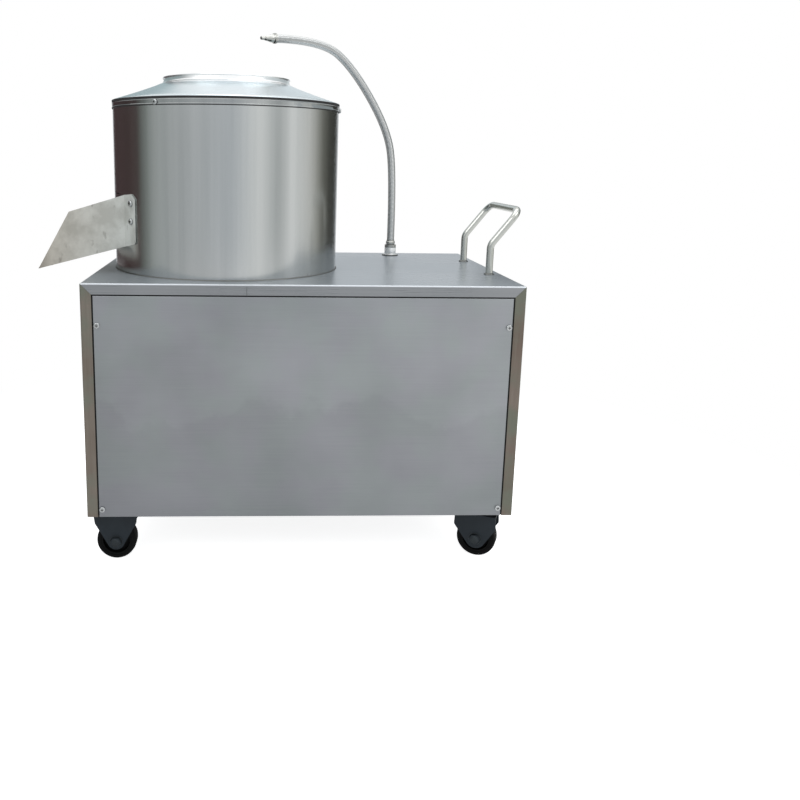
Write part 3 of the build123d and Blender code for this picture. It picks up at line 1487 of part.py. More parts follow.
def swivel_fork():
    """Fork about the kingpin, its wheel trailing along +X, with its axle."""
    crown, race, _ = swivel_levels()
    t = cheek_thickness
    outside = hub_width / 2 + t
    left, right = -swivel_crown_back, swivel_crown_ahead
    face = cheek_face(left, right, crown, swivel_taper, swivel_cheek_end, swivel_trail)
    fork = cheek_pair(face)
    fork += block((left, right), (-outside, outside), (crown - t, crown))
    fork += disc(race_radius, crown - 1, race)
    fork -= disc(kingpin_radius + running_play, crown - 10, race + 1)
    fork -= lying(axle_radius + seat_gap / 2, -outside - 1, outside + 1, swivel_trail, wheel_radius)
    return [fork, Pos(swivel_trail, 0, wheel_radius) * axle()]


def swivel_place(x, y):
    """Rest place of a swivel caster."""
    return Pos(x, y, 0) * Rot(0, 0, swivel_rest_angle)


def caster_bolts():
    """M8 bolts from below, each with a nut above the frame."""
    nut_depth = caster_plate_thickness + angle_thickness
    bolts = []
    for x, y in caster_bolt_spots():
        bolt = Rot(180, 0, 0) * hex_bolt(caster_bolt - 0.01, nut_depth + 8)
        place = Pos(x, y, caster_height - caster_plate_thickness)
        bolts.append(place * bolt + hexagon(13, caster_height + angle_thickness,
                                            caster_height + angle_thickness + 6, x, y))
    return bolts


# ---------------------------------------------------------------- the assembly

def assembly():
    """Every node by name."""
    posts = corner_posts()
    fixed, swivel = caster_spots()
    nodes = {
        "frame": frame(), "top_plate": top_plate(),
        "post_front_left": posts[0], "post_front_right": posts[1],
        "post_rear_left": posts[2], "post_rear_right": posts[3],
        "panel_screws": panel_screws(), "push_handle": push_handle(),
        "drum_shell": drum_shell(), "abrasive_liner": abrasive_liner(), "drum_floor": drum_floor(),
        "drain_pipe": drain_pipe(), "feed_cover": feed_cover(), "feed_cover_screws": feed_cover_screws(),
        "discharge_door": discharge_door(), "door_pad": door_pad(), "door_seal": door_seal(),
        "door_hinge_straps": door_hinge_straps(), "hinge_pin": hinge_pin(), "latch_lever": latch_lever(),
        "discharge_chute": discharge_chute(), "chute_bolts": chute_bolts(),
        "turntable": turntable(), "turntable_cap": turntable_cap(), "main_shaft": main_shaft(),
        "bearing_housing": bearing_housing(), "shaft_bearings": shaft_bearings(), "shaft_seal": shaft_seal(),
        "drive_pulley": drive_pulley(), "motor_pulley": motor_pulley(), "drive_belts": drive_belts(),
        "motor_body": motor_body(), "motor_fan_cover": motor_fan_cover(), "motor_shaft": motor_shaft(),
        "motor_bracket": motor_bracket(), "drive_bolts": drive_bolts(),
        "spray_hose": spray_hose(), "spray_nozzle": spray_nozzle(), "hose_socket": hose_socket(),
        "water_pipe": water_pipe(), "ball_valve": ball_valve(), "valve_lever": valve_lever(),
        "switch_box": switch_box(), "start_button": push_button(1), "stop_button": push_button(-1),
        "cable_gland": cable_gland(), "fixed_caster_brackets": fixed_caster_brackets(),
        "swivel_caster_heads": swivel_caster_heads(), "caster_bolts": caster_bolts(),
    }
    for side in SIDES:
        nodes[side + "_panel"] = side_panel(side)
    for (x, y), (swivel_x, swivel_y), end in zip(fixed, swivel, ("front", "rear")):
        nodes["wheel_" + end + "_left"] = [Pos(x, y, wheel_radius) * piece for piece in wheel()]
        place = swivel_place(swivel_x, swivel_y)
        nodes["swivel_fork_" + end] = [place * piece for piece in swivel_fork()]
        trailing = place * Pos(swivel_trail, 0, wheel_radius)
        nodes["wheel_" + end + "_right"] = [trailing * piece for piece in wheel()]
    return nodes


def single(pieces):
    """One compound of every solid in a node."""
    listed = pieces if isinstance(pieces, list) else [pieces]
    solids = [solid for piece in listed for solid in piece.solids()]
    return solids[0] if len(solids) == 1 else Compound(children=solids)


os.makedirs("parts", exist_ok=True)
for name, pieces in assembly().items():
    export_step(single(pieces), "parts/" + name + ".step")
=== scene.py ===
import math

import bmesh
import bpy
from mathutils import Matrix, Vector


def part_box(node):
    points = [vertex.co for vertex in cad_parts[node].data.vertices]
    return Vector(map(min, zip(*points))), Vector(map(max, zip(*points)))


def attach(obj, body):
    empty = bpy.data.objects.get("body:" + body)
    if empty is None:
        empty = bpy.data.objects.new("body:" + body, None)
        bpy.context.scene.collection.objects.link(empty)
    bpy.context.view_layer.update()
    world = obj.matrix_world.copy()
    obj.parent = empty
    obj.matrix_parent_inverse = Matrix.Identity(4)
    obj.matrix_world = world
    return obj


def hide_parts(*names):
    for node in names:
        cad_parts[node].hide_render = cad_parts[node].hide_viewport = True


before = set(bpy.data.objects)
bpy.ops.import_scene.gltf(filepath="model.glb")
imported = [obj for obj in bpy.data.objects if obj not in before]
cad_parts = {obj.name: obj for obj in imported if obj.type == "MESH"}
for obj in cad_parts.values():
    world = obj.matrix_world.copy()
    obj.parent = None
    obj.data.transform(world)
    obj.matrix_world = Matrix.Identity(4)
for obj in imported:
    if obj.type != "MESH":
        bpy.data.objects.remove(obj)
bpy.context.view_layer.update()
scene = bpy.context.scene
bpy.ops.object.select_all(action="DESELECT")


# Studio: the machine stands on a white floor in front of a white background. A grey screen
# round it, seen only in polished metal, is pale in front and darker in stretches at the sides
# and the rear, which gives the round drum its soft upright bands.
def srgb(hex_colour):
    """A written sRGB colour such as "#a0a5a8" as the linear colour that a shader takes."""
    channels = [int(hex_colour[i:i + 2], 16) / 255 for i in (1, 3, 5)]
    return [c / 12.92 if c <= 0.04045 else ((c + 0.055) / 1.055) ** 2.4 for c in channels] + [1]


def add_node(tree, kind, settings=None, links=None):
    """Adds a node. Settings are sockets or properties by name. Links are sockets by name, each
    fed by another node's socket, or by a node, which stands for its first output."""
    node = tree.nodes.new(kind)
    for name, value in (settings or {}).items():
        if name == "stops":
            ramp = node.color_ramp.elements
            while len(ramp) < len(value):
                ramp.new(0.5)
            for stop, (place, colour) in zip(ramp, value):
                stop.position, stop.color = place, colour
        elif isinstance(name, int) or name in node.inputs:
            node.inputs[name].default_value = value
        else:
            setattr(node, name, value)
    for name, source in (links or {}).items():
        if isinstance(source, bpy.types.Node):
            source = source.outputs[0]
        tree.links.new(source, node.inputs[name])
    return node


def new_finish(name):
    """An empty material, its node tree, and the coordinates that its patterns read."""
    finish = bpy.data.materials.new(name)
    finish.use_nodes = True
    tree = finish.node_tree
    tree.nodes.clear()
    return finish, tree, add_node(tree, "ShaderNodeTexCoord").outputs


def seen_rays(tree):
    """1 for the rays that show the white background, to the camera or in metal and glass."""
    ray = add_node(tree, "ShaderNodeLightPath")
    seen = add_node(tree, "ShaderNodeMath", {"operation": "MAXIMUM"},
                    {0: ray.outputs["Is Camera Ray"], 1: ray.outputs["Is Glossy Ray"]})
    return add_node(tree, "ShaderNodeMath", {"operation": "MAXIMUM"},
                    {0: seen, 1: ray.outputs["Is Transmission Ray"]})


camera_stand, camera_turn = (-0.08335, -1.69779, 0.75946), (79.1801, -0.8189, -2.3878)
bpy.ops.object.camera_add(location=camera_stand,
                          rotation=[math.radians(turn) for turn in camera_turn])
camera = bpy.context.object
camera.data.lens, camera.data.sensor_width = 36.79, 36
camera.data.shift_x, camera.data.shift_y = 0.1319, -0.1073
scene.camera = camera
scene.view_settings.view_transform = "Standard"

white_world = bpy.data.worlds.new("white_studio")
scene.world = white_world
white_world.use_nodes = True
sky = white_world.node_tree
sky.nodes.clear()
room = add_node(sky, "ShaderNodeBackground", {"Color": srgb("#f4f7fa"), "Strength": 0.62})
white = add_node(sky, "ShaderNodeBackground", {"Color": (1, 1, 1, 1), "Strength": 1.0})
both = add_node(sky, "ShaderNodeMixShader", {}, {0: seen_rays(sky), 1: room, 2: white})
add_node(sky, "ShaderNodeOutputWorld", {}, {"Surface": both})

# White paper floor, dull and even. Metal shows it greyer, and darker on the chute's side.
floor_radius = 9
shade_white = 0.85              # how white the floor looks where the machine's shadow falls
mirror_share = 0.5              # share of the lamps' light on the floor that metal shows
shaded_reach, white_reach = 0.6, 1.3    # the shadow fades out between these distances
bpy.ops.mesh.primitive_circle_add(vertices=96, radius=floor_radius, fill_type="NGON",
                                  location=(0, 0, 0))
floor = bpy.context.object
floor.name = "studio_floor"
paper, tree, place = new_finish("white_floor_paper")
distance = add_node(tree, "ShaderNodeVectorMath", {"operation": "LENGTH"}, {0: place["Object"]})
fade = add_node(tree, "ShaderNodeMapRange", {"From Min": shaded_reach, "From Max": white_reach,
                "interpolation_type": "SMOOTHSTEP"}, {"Value": distance.outputs["Value"]})
lit = add_node(tree, "ShaderNodeBsdfDiffuse", {"Color": srgb("#fbfbfb")})
lift = add_node(tree, "ShaderNodeEmission", {"Color": (1, 1, 1, 1)},
                {"Strength": add_node(tree, "ShaderNodeMath", {"operation": "MULTIPLY",
                                      1: shade_white}, {0: seen_rays(tree)})})
near = add_node(tree, "ShaderNodeAddShader", {}, {0: lit, 1: lift})
half_lit = add_node(tree, "ShaderNodeBsdfDiffuse", {"Color": (mirror_share,) * 3 + (1,)})
floor_place = add_node(tree, "ShaderNodeSeparateXYZ", {}, {0: place["Object"]})
dim = add_node(tree, "ShaderNodeMapRange", {"From Min": -0.55, "From Max": 0.35, "To Min": 0.68,
               "To Max": 0.95}, {"Value": floor_place.outputs["X"]})
half_lift = add_node(tree, "ShaderNodeEmission", {"Color": srgb("#b6b6b6")}, {"Strength": dim})
mirrored = add_node(tree, "ShaderNodeAddShader", {}, {0: half_lit, 1: half_lift})
glossy = add_node(tree, "ShaderNodeLightPath").outputs["Is Glossy Ray"]
near = add_node(tree, "ShaderNodeMixShader", {}, {0: glossy, 1: near, 2: mirrored})
distant = add_node(tree, "ShaderNodeMix", {"data_type": "FLOAT", 2: 1.0}, {0: glossy, 3: dim})
far = add_node(tree, "ShaderNodeEmission", {"Color": (1, 1, 1, 1)}, {"Strength": distant})
share = add_node(tree, "ShaderNodeMath", {"operation": "MULTIPLY"}, {0: fade, 1: seen_rays(tree)})
paper_mix = add_node(tree, "ShaderNodeMixShader", {}, {0: share, 1: near, 2: far})
add_node(tree, "ShaderNodeOutputMaterial", {}, {"Surface": paper_mix})
floor.data.materials.append(paper)

# Grey cloth on a ring. It glows evenly, so that metal shows its bands and nothing else.
screen_radius, screen_height = 2.5, 2.2
screen_foot, screen_head = (0.10, 0.30), (1.18, 1.30)   # levels where it fades in, and changes
chute_side = (-1.6, -2.2)                               # towards the chute it reaches the floor
bpy.ops.mesh.primitive_cylinder_add(vertices=96, radius=screen_radius, depth=screen_height,
                                    end_fill_type="NOTHING", location=(0, 0, screen_height / 2))
screen = bpy.context.object
screen.name = "studio_screen"
cloth, tree, place = new_finish("grey_studio_cloth")
angle = add_node(tree, "ShaderNodeTexGradient", {"gradient_type": "RADIAL"},
                 {"Vector": place["Object"]})
# Turns from the chute's side (0) past the front (0.25), the handle (0.5) and the rear (0.75)
low_tones = [(0.0, "#62645e"), (0.03, "#959b98"), (0.06, "#b9bebd"), (0.125, "#bfc3c4"),
             (0.18, "#c9cdcf"), (0.26, "#ced3d7"), (0.30, "#e6e9ea"), (0.325, "#fbfcfb"),
             (0.375, "#ccd0cf"), (0.39, "#c6c9c8"), (0.44, "#fbfcfb"), (0.50, "#dededa"),
             (0.53, "#b8b8b1"), (0.56, "#75756d"), (0.60, "#4c4c47"), (0.679, "#2e2e2c"),
             (0.687, "#dfe2e5"), (0.742, "#dfe2e5"), (0.757, "#7c7e79"), (0.795, "#7c7e79"),
             (0.810, "#dfe2e5"), (0.829, "#dfe2e5"), (0.840, "#4a3c3d"), (0.965, "#504241")]
high_tones = [(0.0, "#8b9192"), (0.10, "#ffffff"), (0.38, "#ffffff"), (0.50, "#c4cbcd"),
              (0.62, "#aab2b4"), (0.72, "#d4dbdd"), (0.745, "#f2f7fa"), (0.765, "#d6e2e8"),
              (0.79, "#a9b9bc"), (0.88, "#8b9899")]
glows = []
for tones in (low_tones, high_tones):
    bands = add_node(tree, "ShaderNodeValToRGB", {"stops": [(p, srgb(c)) for p, c in tones]},
                     {0: angle.outputs["Fac"]})
    glows.append(add_node(tree, "ShaderNodeEmission", {"Strength": 1}, {"Color": bands}))
clear = add_node(tree, "ShaderNodeBsdfTransparent")
screen_place = add_node(tree, "ShaderNodeSeparateXYZ", {}, {0: place["Object"]})
above_foot, above_head = [
    add_node(tree, "ShaderNodeMapRange", {"From Min": low - screen_height / 2,
             "From Max": high - screen_height / 2, "interpolation_type": "SMOOTHSTEP"},
             {"Value": screen_place.outputs["Z"]}) for low, high in (screen_foot, screen_head)]
low_side = add_node(tree, "ShaderNodeMapRange", {"From Min": chute_side[0],
                    "From Max": chute_side[1]}, {"Value": screen_place.outputs["X"]})
covered = add_node(tree, "ShaderNodeMath", {"operation": "MAXIMUM"}, {0: above_foot, 1: low_side})
cloth_mix = add_node(tree, "ShaderNodeMixShader", {}, {0: covered, 1: clear, 2: glows[0]})
cloth_mix = add_node(tree, "ShaderNodeMixShader", {}, {0: above_head, 1: cloth_mix, 2: glows[1]})
add_node(tree, "ShaderNodeOutputMaterial", {}, {"Surface": cloth_mix})
screen.data.materials.append(cloth)
screen.visible_camera = screen.visible_diffuse = screen.visible_shadow = False
screen.visible_transmission = False

for name, stand, aim, size, power in [
        ("lamp_left", (-1.9, -2.0, 2.6), (-0.1, 0, 0.5), 1.8, 17),
        ("lamp_right", (2.2, -1.6, 2.4), (0.1, 0, 0.5), 1.8, 22),
        ("lamp_top", (0.2, 0.4, 3.2), (0, 0, 0.6), 2.4, 20)]:
    bpy.ops.object.light_add(type="AREA", location=stand)
    lamp = bpy.context.object
    lamp.name, lamp.data.size, lamp.data.energy = name, size, power
    lamp.rotation_euler = (Vector(aim) - Vector(stand)).to_track_quat("-Z", "Y").to_euler()


# Inner frame and motor bracket: angle steel, mitred, welded and brushed with dark grey enamel.
# They show only from below, where the paint has an orange-peel skin and thin, dusty patches.
def dress(finish, *names):
    """Gives a finish to solids that keep their own shape."""
    for name in names:
        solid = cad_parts[name]
        if not solid.material_slots:
            solid.data.materials.append(finish)
        for slot in solid.material_slots:
            slot.material = finish


def coated(name, coat, worn, grain_mm, roughness, patch_mm=38, skin=0.25, gloss=0.5):
    """A coated or moulded surface: a fine skin of grain_mm, with blotches of patch_mm where
    it is thin or dusty. A skin finer than 0.8 mm is drawn as coarse as that, so that it
    shows."""
    finish, tree, place = new_finish(name)
    peel = add_node(tree, "ShaderNodeTexNoise", {"Scale": 1000 / grain_mm, "Detail": 3},
                    {"Vector": place["Object"]})
    patch = add_node(tree, "ShaderNodeTexNoise", {"Scale": 1000 / patch_mm, "Detail": 4},
                     {"Vector": place["Object"]})
    thin = add_node(tree, "ShaderNodeMapRange", {"From Min": 0.45, "From Max": 0.8},
                    {"Value": patch.outputs["Fac"]})
    colour = add_node(tree, "ShaderNodeMix", {"data_type": "RGBA", 6: srgb(coat), 7: srgb(worn)},
                      {0: thin})
    sheen = add_node(tree, "ShaderNodeMapRange", {"To Min": roughness - 0.08,
                     "To Max": roughness + 0.12}, {"Value": patch.outputs["Fac"]})
    bump = add_node(tree, "ShaderNodeBump", {"Strength": skin, "Distance": 0.0004},
                    {"Height": peel.outputs["Fac"]})
    body = add_node(tree, "ShaderNodeBsdfPrincipled", {"IOR": 1.5, "Specular IOR Level": gloss},
                    {"Base Color": colour.outputs[2], "Roughness": sheen, "Normal": bump})
    add_node(tree, "ShaderNodeOutputMaterial", {}, {"Surface": body})
    return finish


frame_paint = coated("dark_grey_enamel_on_steel", "#3b3e40", "#55585a", 2.5, 0.55)
dress(frame_paint, "frame", "motor_bracket")


# Corner posts and panels: folded stainless sheet with a long fine grain from the rolling mill
# and faint smudges from hands. The posts are a warmer batch than the panels.
def sheet_metal(name, light, dark, grain_mm, roughness, smudge=0.5, fold=None, upward=None,
                blotch=None, tide=None, metallic=1.0, hues=None):
    """Rolled sheet. grain_mm is the grain's size along x, y and z. fold is the colour of a painted
    highlight along folded edges, and upward that of upward faces, painted paler as if lit from
    above. blotch is a second colour and the size of its patches, tide the level of a painted
    reflection horizon, below which painted shade darkens the sheet. hues are the two faint tints
    of its oxide skin."""
    cloud_mm, oxide_mm, shore_mm, shore_rise = 190, 85, 150, 0.22
    finish, tree, place = new_finish(name)
    stretched = add_node(tree, "ShaderNodeMapping", {"Scale": [1000 / g for g in grain_mm]},
                         {"Vector": place["Object"]})
    grain = add_node(tree, "ShaderNodeTexNoise", {"Scale": 1, "Detail": 3, "Roughness": 0.6},
                     {"Vector": stretched})
    cloud = add_node(tree, "ShaderNodeTexNoise", {"Scale": 1000 / cloud_mm, "Detail": 3},
                     {"Vector": place["Object"]})
    tone = add_node(tree, "ShaderNodeMix", {"data_type": "FLOAT", 0: smudge},
                    {2: grain.outputs["Fac"], 3: cloud.outputs["Fac"]})
    spread = add_node(tree, "ShaderNodeMapRange", {"From Min": 0.35, "From Max": 0.65},
                      {"Value": tone})
    colour = add_node(tree, "ShaderNodeMix", {"data_type": "RGBA", 6: srgb(dark), 7: srgb(light)},
                      {0: spread}).outputs[2]
    # Painted highlight along folded edges, and upward faces painted paler as if lit from above
    if upward:
        facing = add_node(tree, "ShaderNodeSeparateXYZ", {}, {0: place["Normal"]})
        for tint, low, high in ((fold, 0.05, 0.35), (upward, 0.94, 0.995)):
            share = add_node(tree, "ShaderNodeMapRange", {"From Min": low, "From Max": high},
                             {"Value": facing.outputs["Z"]})
            paler = [c * 1.03 for c in srgb(tint)[:3]] + [1]
            tinted = add_node(tree, "ShaderNodeMix", {"data_type": "RGBA", 6: srgb(tint),
                              7: paler}, {0: spread})
            colour = add_node(tree, "ShaderNodeMix", {"data_type": "RGBA"},
                              {0: share, 6: colour, 7: tinted.outputs[2]}).outputs[2]
    if blotch:
        patches = add_node(tree, "ShaderNodeTexNoise", {"Scale": 1000 / blotch[1], "Detail": 4},
                           {"Vector": place["Object"]})
        share = add_node(tree, "ShaderNodeMapRange", {"From Min": 0.42, "From Max": 0.60},
                         {"Value": patches.outputs["Fac"]})
        colour = add_node(tree, "ShaderNodeMix", {"data_type": "RGBA", 7: srgb(blotch[0])},
                          {0: share, 6: colour}).outputs[2]
    if hues:
        skin = add_node(tree, "ShaderNodeTexNoise", {"Scale": 1000 / oxide_mm, "Detail": 2},
                        {"Vector": place["Object"]})
        share = add_node(tree, "ShaderNodeMapRange", {"From Min": 0.40, "From Max": 0.60},
                         {"Value": skin.outputs["Fac"]})
        tint = add_node(tree, "ShaderNodeMix", {"data_type": "RGBA", 6: srgb(hues[0]),
                        7: srgb(hues[1])}, {0: share})
        colour = add_node(tree, "ShaderNodeMix", {"data_type": "RGBA", "blend_type": "MULTIPLY",
                          0: 1.0}, {6: colour, 7: tint.outputs[2]}).outputs[2]
    if tide:
        wave = add_node(tree, "ShaderNodeTexNoise", {"Scale": 1000 / shore_mm, "Detail": 6,
                        "Roughness": 0.55}, {"Vector": place["Object"]})
        drop = add_node(tree, "ShaderNodeMath", {"operation": "MULTIPLY", 1: shore_rise},
                        {0: wave.outputs["Fac"]})
        level = add_node(tree, "ShaderNodeSeparateXYZ", {}, {0: place["Object"]})
        shore = add_node(tree, "ShaderNodeMath", {"operation": "ADD"},
                         {0: level.outputs["Z"], 1: drop})
        # A faint painted reflection horizon, and below it painted shade, a slow fall in tone
        for low, high, loss in ((tide + 0.106, tide + 0.122, 0.06),
                                (tide - 0.20, tide + 0.30, 0.18)):
            wet = add_node(tree, "ShaderNodeMapRange", {"From Min": high, "From Max": low,
                           "To Max": loss}, {"Value": shore})
            colour = add_node(tree, "ShaderNodeMix", {"data_type": "RGBA", 7: (0, 0, 0, 1)},
                              {0: wet, 6: colour}).outputs[2]
    sheen = add_node(tree, "ShaderNodeMapRange", {"To Min": roughness - 0.06,
                     "To Max": roughness + 0.06}, {"Value": spread})
    lines = add_node(tree, "ShaderNodeBump", {"Strength": 0.08, "Distance": 0.0002},
                     {"Height": grain.outputs["Fac"]})
    body = add_node(tree, "ShaderNodeBsdfPrincipled", {"Metallic": metallic},
                    {"Base Color": colour, "Roughness": sheen, "Normal": lines})
    add_node(tree, "ShaderNodeOutputMaterial", {}, {"Surface": body})
    return finish


# Mill grain by its run. The real one is under 0.1 mm wide, and is drawn 2 or 3 mm wide to show.
upright_grain, wide_grain, deep_grain = (3, 3, 90), (140, 2, 2), (2, 140, 2)
# Warm stainless, brownish grey with olive patches where hands and water have dulled it
for side, light, dark, olive in (("left", "#958e85", "#786c62", "#83857a"),
                                 ("right", "#887f77", "#6e6158", "#76786d")):
    post_sheet = sheet_metal(side + "_warm_stainless_post", light, dark, upright_grain, 0.4, 0.75,
                             blotch=(olive, 70))
    dress(post_sheet, "post_front_" + side, "post_rear_" + side)
# Cool stainless, an even soft grey, with a painted reflection horizon and painted shade that
# darkens it below
tide_level, skin_hues = 0.30, ("#fdfffd", "#fffcff")
for name, grain, sides in (("cool_stainless_panel_sheet", wide_grain, ("front", "rear")),
                           ("side_stainless_panel_sheet", deep_grain, ("left", "right"))):
    panel_sheet = sheet_metal(name, "#a9adb0", "#9a9ea1", grain, 0.36, 0.8, tide=tide_level,
                              hues=skin_hues)
    dress(panel_sheet, *[side + "_panel" for side in sides])


# Top plate: the same stainless sheet, folded down into a rail on every side with its corners
# mitred. Its flat is a duller grey, painted paler as if lit from above, and the fold carries a
# painted highlight that shows as a bright line.
top_grain = (160, 2, 2)
top_sheet = sheet_metal("stainless_top_sheet", "#989a9d", "#8a8d90", top_grain, 0.3, 0.6,
                        fold="#d6dbe0", upward="#a1a8ae", metallic=0.45)
dress(top_sheet, "top_plate")


# Gap strips: black foam strip stuck to the posts' seats, which fills the gap round each panel. It
# shows as a dark line that stands for the shade in the gap, a painted shadow.
def pick(kind, test):
    """In edit mode, selects the faces, edges or corners that pass a test."""
    bpy.ops.mesh.select_mode(type=kind)
    bpy.ops.mesh.select_all(action="DESELECT")
    mesh = bmesh.from_edit_mesh(bpy.context.object.data)
    for part in {"FACE": mesh.faces, "EDGE": mesh.edges, "VERT": mesh.verts}[kind]:
        if test(part):
            part.select_set(True)
    mesh.select_flush_mode()
    bmesh.update_edit_mesh(bpy.context.object.data)


def fix(name, body, finish, smooth=None):
    """Names the active piece, puts its place into its mesh, and fixes it to a body. Edges
    that turn by less than smooth degrees are shaded smooth."""
    piece = bpy.context.object
    piece.name = piece.data.name = name
    bpy.ops.object.transform_apply(location=True, rotation=True, scale=True)
    if smooth:
        bpy.ops.object.shade_smooth_by_angle(angle=math.radians(smooth))
    piece.data.materials.clear()
    piece.data.materials.append(finish)
    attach(piece, body)
    bpy.ops.object.select_all(action="DESELECT")
    return piece


def flat_sheet(width, height):
    """Opens a flat sheet of this size in edit mode."""
    bpy.ops.mesh.primitive_plane_add(size=1, location=(0, 0, 0))
    bpy.ops.object.mode_set(mode="EDIT")
    bpy.ops.transform.resize(value=(width, height, 1))


cabinet_low, cabinet_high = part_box("top_plate")
half_width, half_depth, top_level = cabinet_high.x, cabinet_high.y, cabinet_high.z
post_face, rail_low, panel_foot = 0.020, cabinet_low.z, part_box("front_panel")[0].z
strip_width, strip_depth, seat_depth = 0.0024, 0.0009, 0.003
strip_height = rail_low - panel_foot
foam = coated("black_foam_strip", "#151515", "#1f1f20", 0.8, 0.85)
for side, turn, reach, across in [
        ("front", 0, half_depth, half_width - post_face),
        ("right", 90, half_width, half_depth - post_face),
        ("rear", 180, half_depth, half_width - post_face),
        ("left", 270, half_width, half_depth - post_face)]:
    flat_sheet(2 * across, strip_height)
    bpy.ops.mesh.inset(thickness=strip_width, use_even_offset=True)
    bpy.ops.mesh.delete(type="FACE")
    # The panel's lower edge stands free, so no strip runs along it
    pick("FACE", lambda face: face.calc_center_median().y < -strip_height * 0.45)
    bpy.ops.mesh.delete(type="FACE")
    bpy.ops.mesh.select_all(action="SELECT")
    bpy.ops.mesh.extrude_region_move(TRANSFORM_OT_translate={"value": (0, 0, strip_depth)})
    bpy.ops.mesh.select_all(action="SELECT")
    bpy.ops.mesh.normals_make_consistent(inside=False)
    bpy.ops.object.mode_set(mode="OBJECT")
    strip = bpy.context.object
    strip.rotation_euler = (math.radians(90), 0, math.radians(turn))
    outward = Vector((math.sin(math.radians(turn)), -math.cos(math.radians(turn)), 0))
    strip.location = outward * (reach - seat_depth)
    strip.location.z = (rail_low + panel_foot) / 2
    fix("gap_strip_" + side, "root", foam)


# Butt weld across the front rail, where the sheet of the top plate is joined, ground nearly
# flush. It leaves a thin dull line.
ground_weld = sheet_metal("ground_butt_weld", "#6f7174", "#5d5f62", (1, 1, 1), 0.45)
rail_weld_x, rail_weld_width, rail_weld_rise = -0.1050, 0.0009, 0.0002
fold_clear, weld_drop = 0.005, 0.002    # what the fold takes off its length, and its shift down
flat_sheet(rail_weld_width, cabinet_high.z - rail_low - fold_clear)
bpy.ops.mesh.subdivide(number_cuts=12)
bpy.ops.mesh.extrude_region_move(TRANSFORM_OT_translate={"value": (0, 0, rail_weld_rise)})
bpy.ops.object.mode_set(mode="OBJECT")
weld = bpy.context.object
weld.rotation_euler = (math.radians(90), 0, 0)
weld.location = (rail_weld_x, -half_depth, rail_low + (cabinet_high.z - rail_low) / 2 - weld_drop)
fix("rail_butt_weld", "root", ground_weld)


# Screws and bolts: stainless and zinc-plated pan and hex heads, turned and then tumbled, so they
# are bright with small dull scuffs, the zinc duller, with painted shade round their heads and in
# their recesses.
def bright_metal(name, colour, roughness, wear_mm, contrast=0.82, grime=0.0):
    """Polished, plated or turned metal with handling marks of wear_mm, which are darker by
    contrast. grime is the strength of painted shade in recesses and where the piece meets another."""
    finish, tree, place = new_finish(name)
    rub = add_node(tree, "ShaderNodeTexNoise", {"Scale": 1000 / wear_mm, "Detail": 4},
                   {"Vector": place["Object"]})
    sheen = add_node(tree, "ShaderNodeMapRange", {"To Min": roughness - 0.05,
                     "To Max": roughness + 0.1}, {"Value": rub.outputs["Fac"]})
    tone = add_node(tree, "ShaderNodeMix", {"data_type": "RGBA", 6: srgb(colour),
                    7: [c * contrast for c in srgb(colour)[:3]] + [1]},
                    {0: rub.outputs["Fac"]}).outputs[2]
    # Painted shade: the colour goes dark where occlusion finds other surfaces close by
    if grime:
        hollow = add_node(tree, "ShaderNodeAmbientOcclusion", {"Distance": 0.003, "samples": 8})
        dirt = add_node(tree, "ShaderNodeMapRange", {"From Min": 0.85, "From Max": 0.35,
                        "To Max": grime}, {"Value": hollow.outputs["AO"]})
        tone = add_node(tree, "ShaderNodeMix", {"data_type": "RGBA", 7: srgb("#191715")},
                        {0: dirt, 6: tone}).outputs[2]
    body = add_node(tree, "ShaderNodeBsdfPrincipled", {"Metallic": 1.0},
                    {"Base Color": tone, "Roughness": sheen})
    add_node(tree, "ShaderNodeOutputMaterial", {}, {"Surface": body})
    return finish


# Screws and bolts carry painted shade round their heads and in their recesses
screw_steel = bright_metal("tumbled_stainless_screws", "#c9cccd", 0.2, 3, grime=0.95)
dress(screw_steel, "panel_screws", "feed_cover_screws", "chute_bolts", "hinge_pin",
      "latch_lever")
zinc = bright_metal("zinc_plated_bolts", "#a9adab", 0.34, 3, grime=0.8)
dress(zinc, "caster_bolts", "drive_bolts")


# Push handle: one bent stainless rod, polished along its length and welded to the top plate
# by a rippled bead round each foot. The rod is bright and clear, the weld dull and dark.
def lathe(profile, foot, steps):
    """Draws a profile of (radius, height) corners by extruding one corner, and spins it about
    the upright axis through the foot."""
    bpy.ops.mesh.primitive_plane_add(size=0.01, location=foot)
    bpy.ops.object.mode_set(mode="EDIT")
    bpy.ops.mesh.select_mode(type="VERT")
    bpy.ops.mesh.select_all(action="SELECT")
    bpy.ops.mesh.merge(type="CENTER")
    bpy.ops.transform.translate(value=(profile[0][0], 0, profile[0][1]))
    for (radius, level), (next_radius, next_level) in zip(profile, profile[1:]):
        run = (next_radius - radius, 0, next_level - level)
        bpy.ops.mesh.extrude_region_move(TRANSFORM_OT_translate={"value": run})
    bpy.ops.mesh.select_all(action="SELECT")
    bpy.ops.mesh.spin(steps=steps, angle=math.tau, center=foot, axis=(0, 0, 1))
    bpy.ops.mesh.select_all(action="SELECT")
    bpy.ops.mesh.remove_doubles(threshold=1e-5)
    bpy.ops.mesh.normals_make_consistent(inside=False)
    bpy.ops.object.mode_set(mode="OBJECT")
    return bpy.context.object


weld_cloud = bpy.data.textures.new("weld_ripple", "CLOUDS")
weld_cloud.noise_scale, weld_cloud.noise_depth = 0.0028, 1


def weld_bead(name, radius, foot, width, steps, finish):
    """A rippled weld round a foot, width wide and nearly as high."""
    profile = [(radius, -0.0002), (radius + width, -0.0002), (radius + width * 0.93, width * 0.25),
               (radius + width * 0.62, width * 0.62), (radius + width * 0.25, width * 0.88),
               (radius, width), (radius, -0.0002)]
    bead = lathe(profile, foot, steps)
    ripple = bead.modifiers.new("ripple", "DISPLACE")
    ripple.texture, ripple.texture_coords = weld_cloud, "LOCAL"
    ripple.strength, ripple.mid_level = width * 0.35, 0.5
    bpy.ops.object.modifier_apply(modifier=ripple.name)
    fix(name, "root", finish, 50)


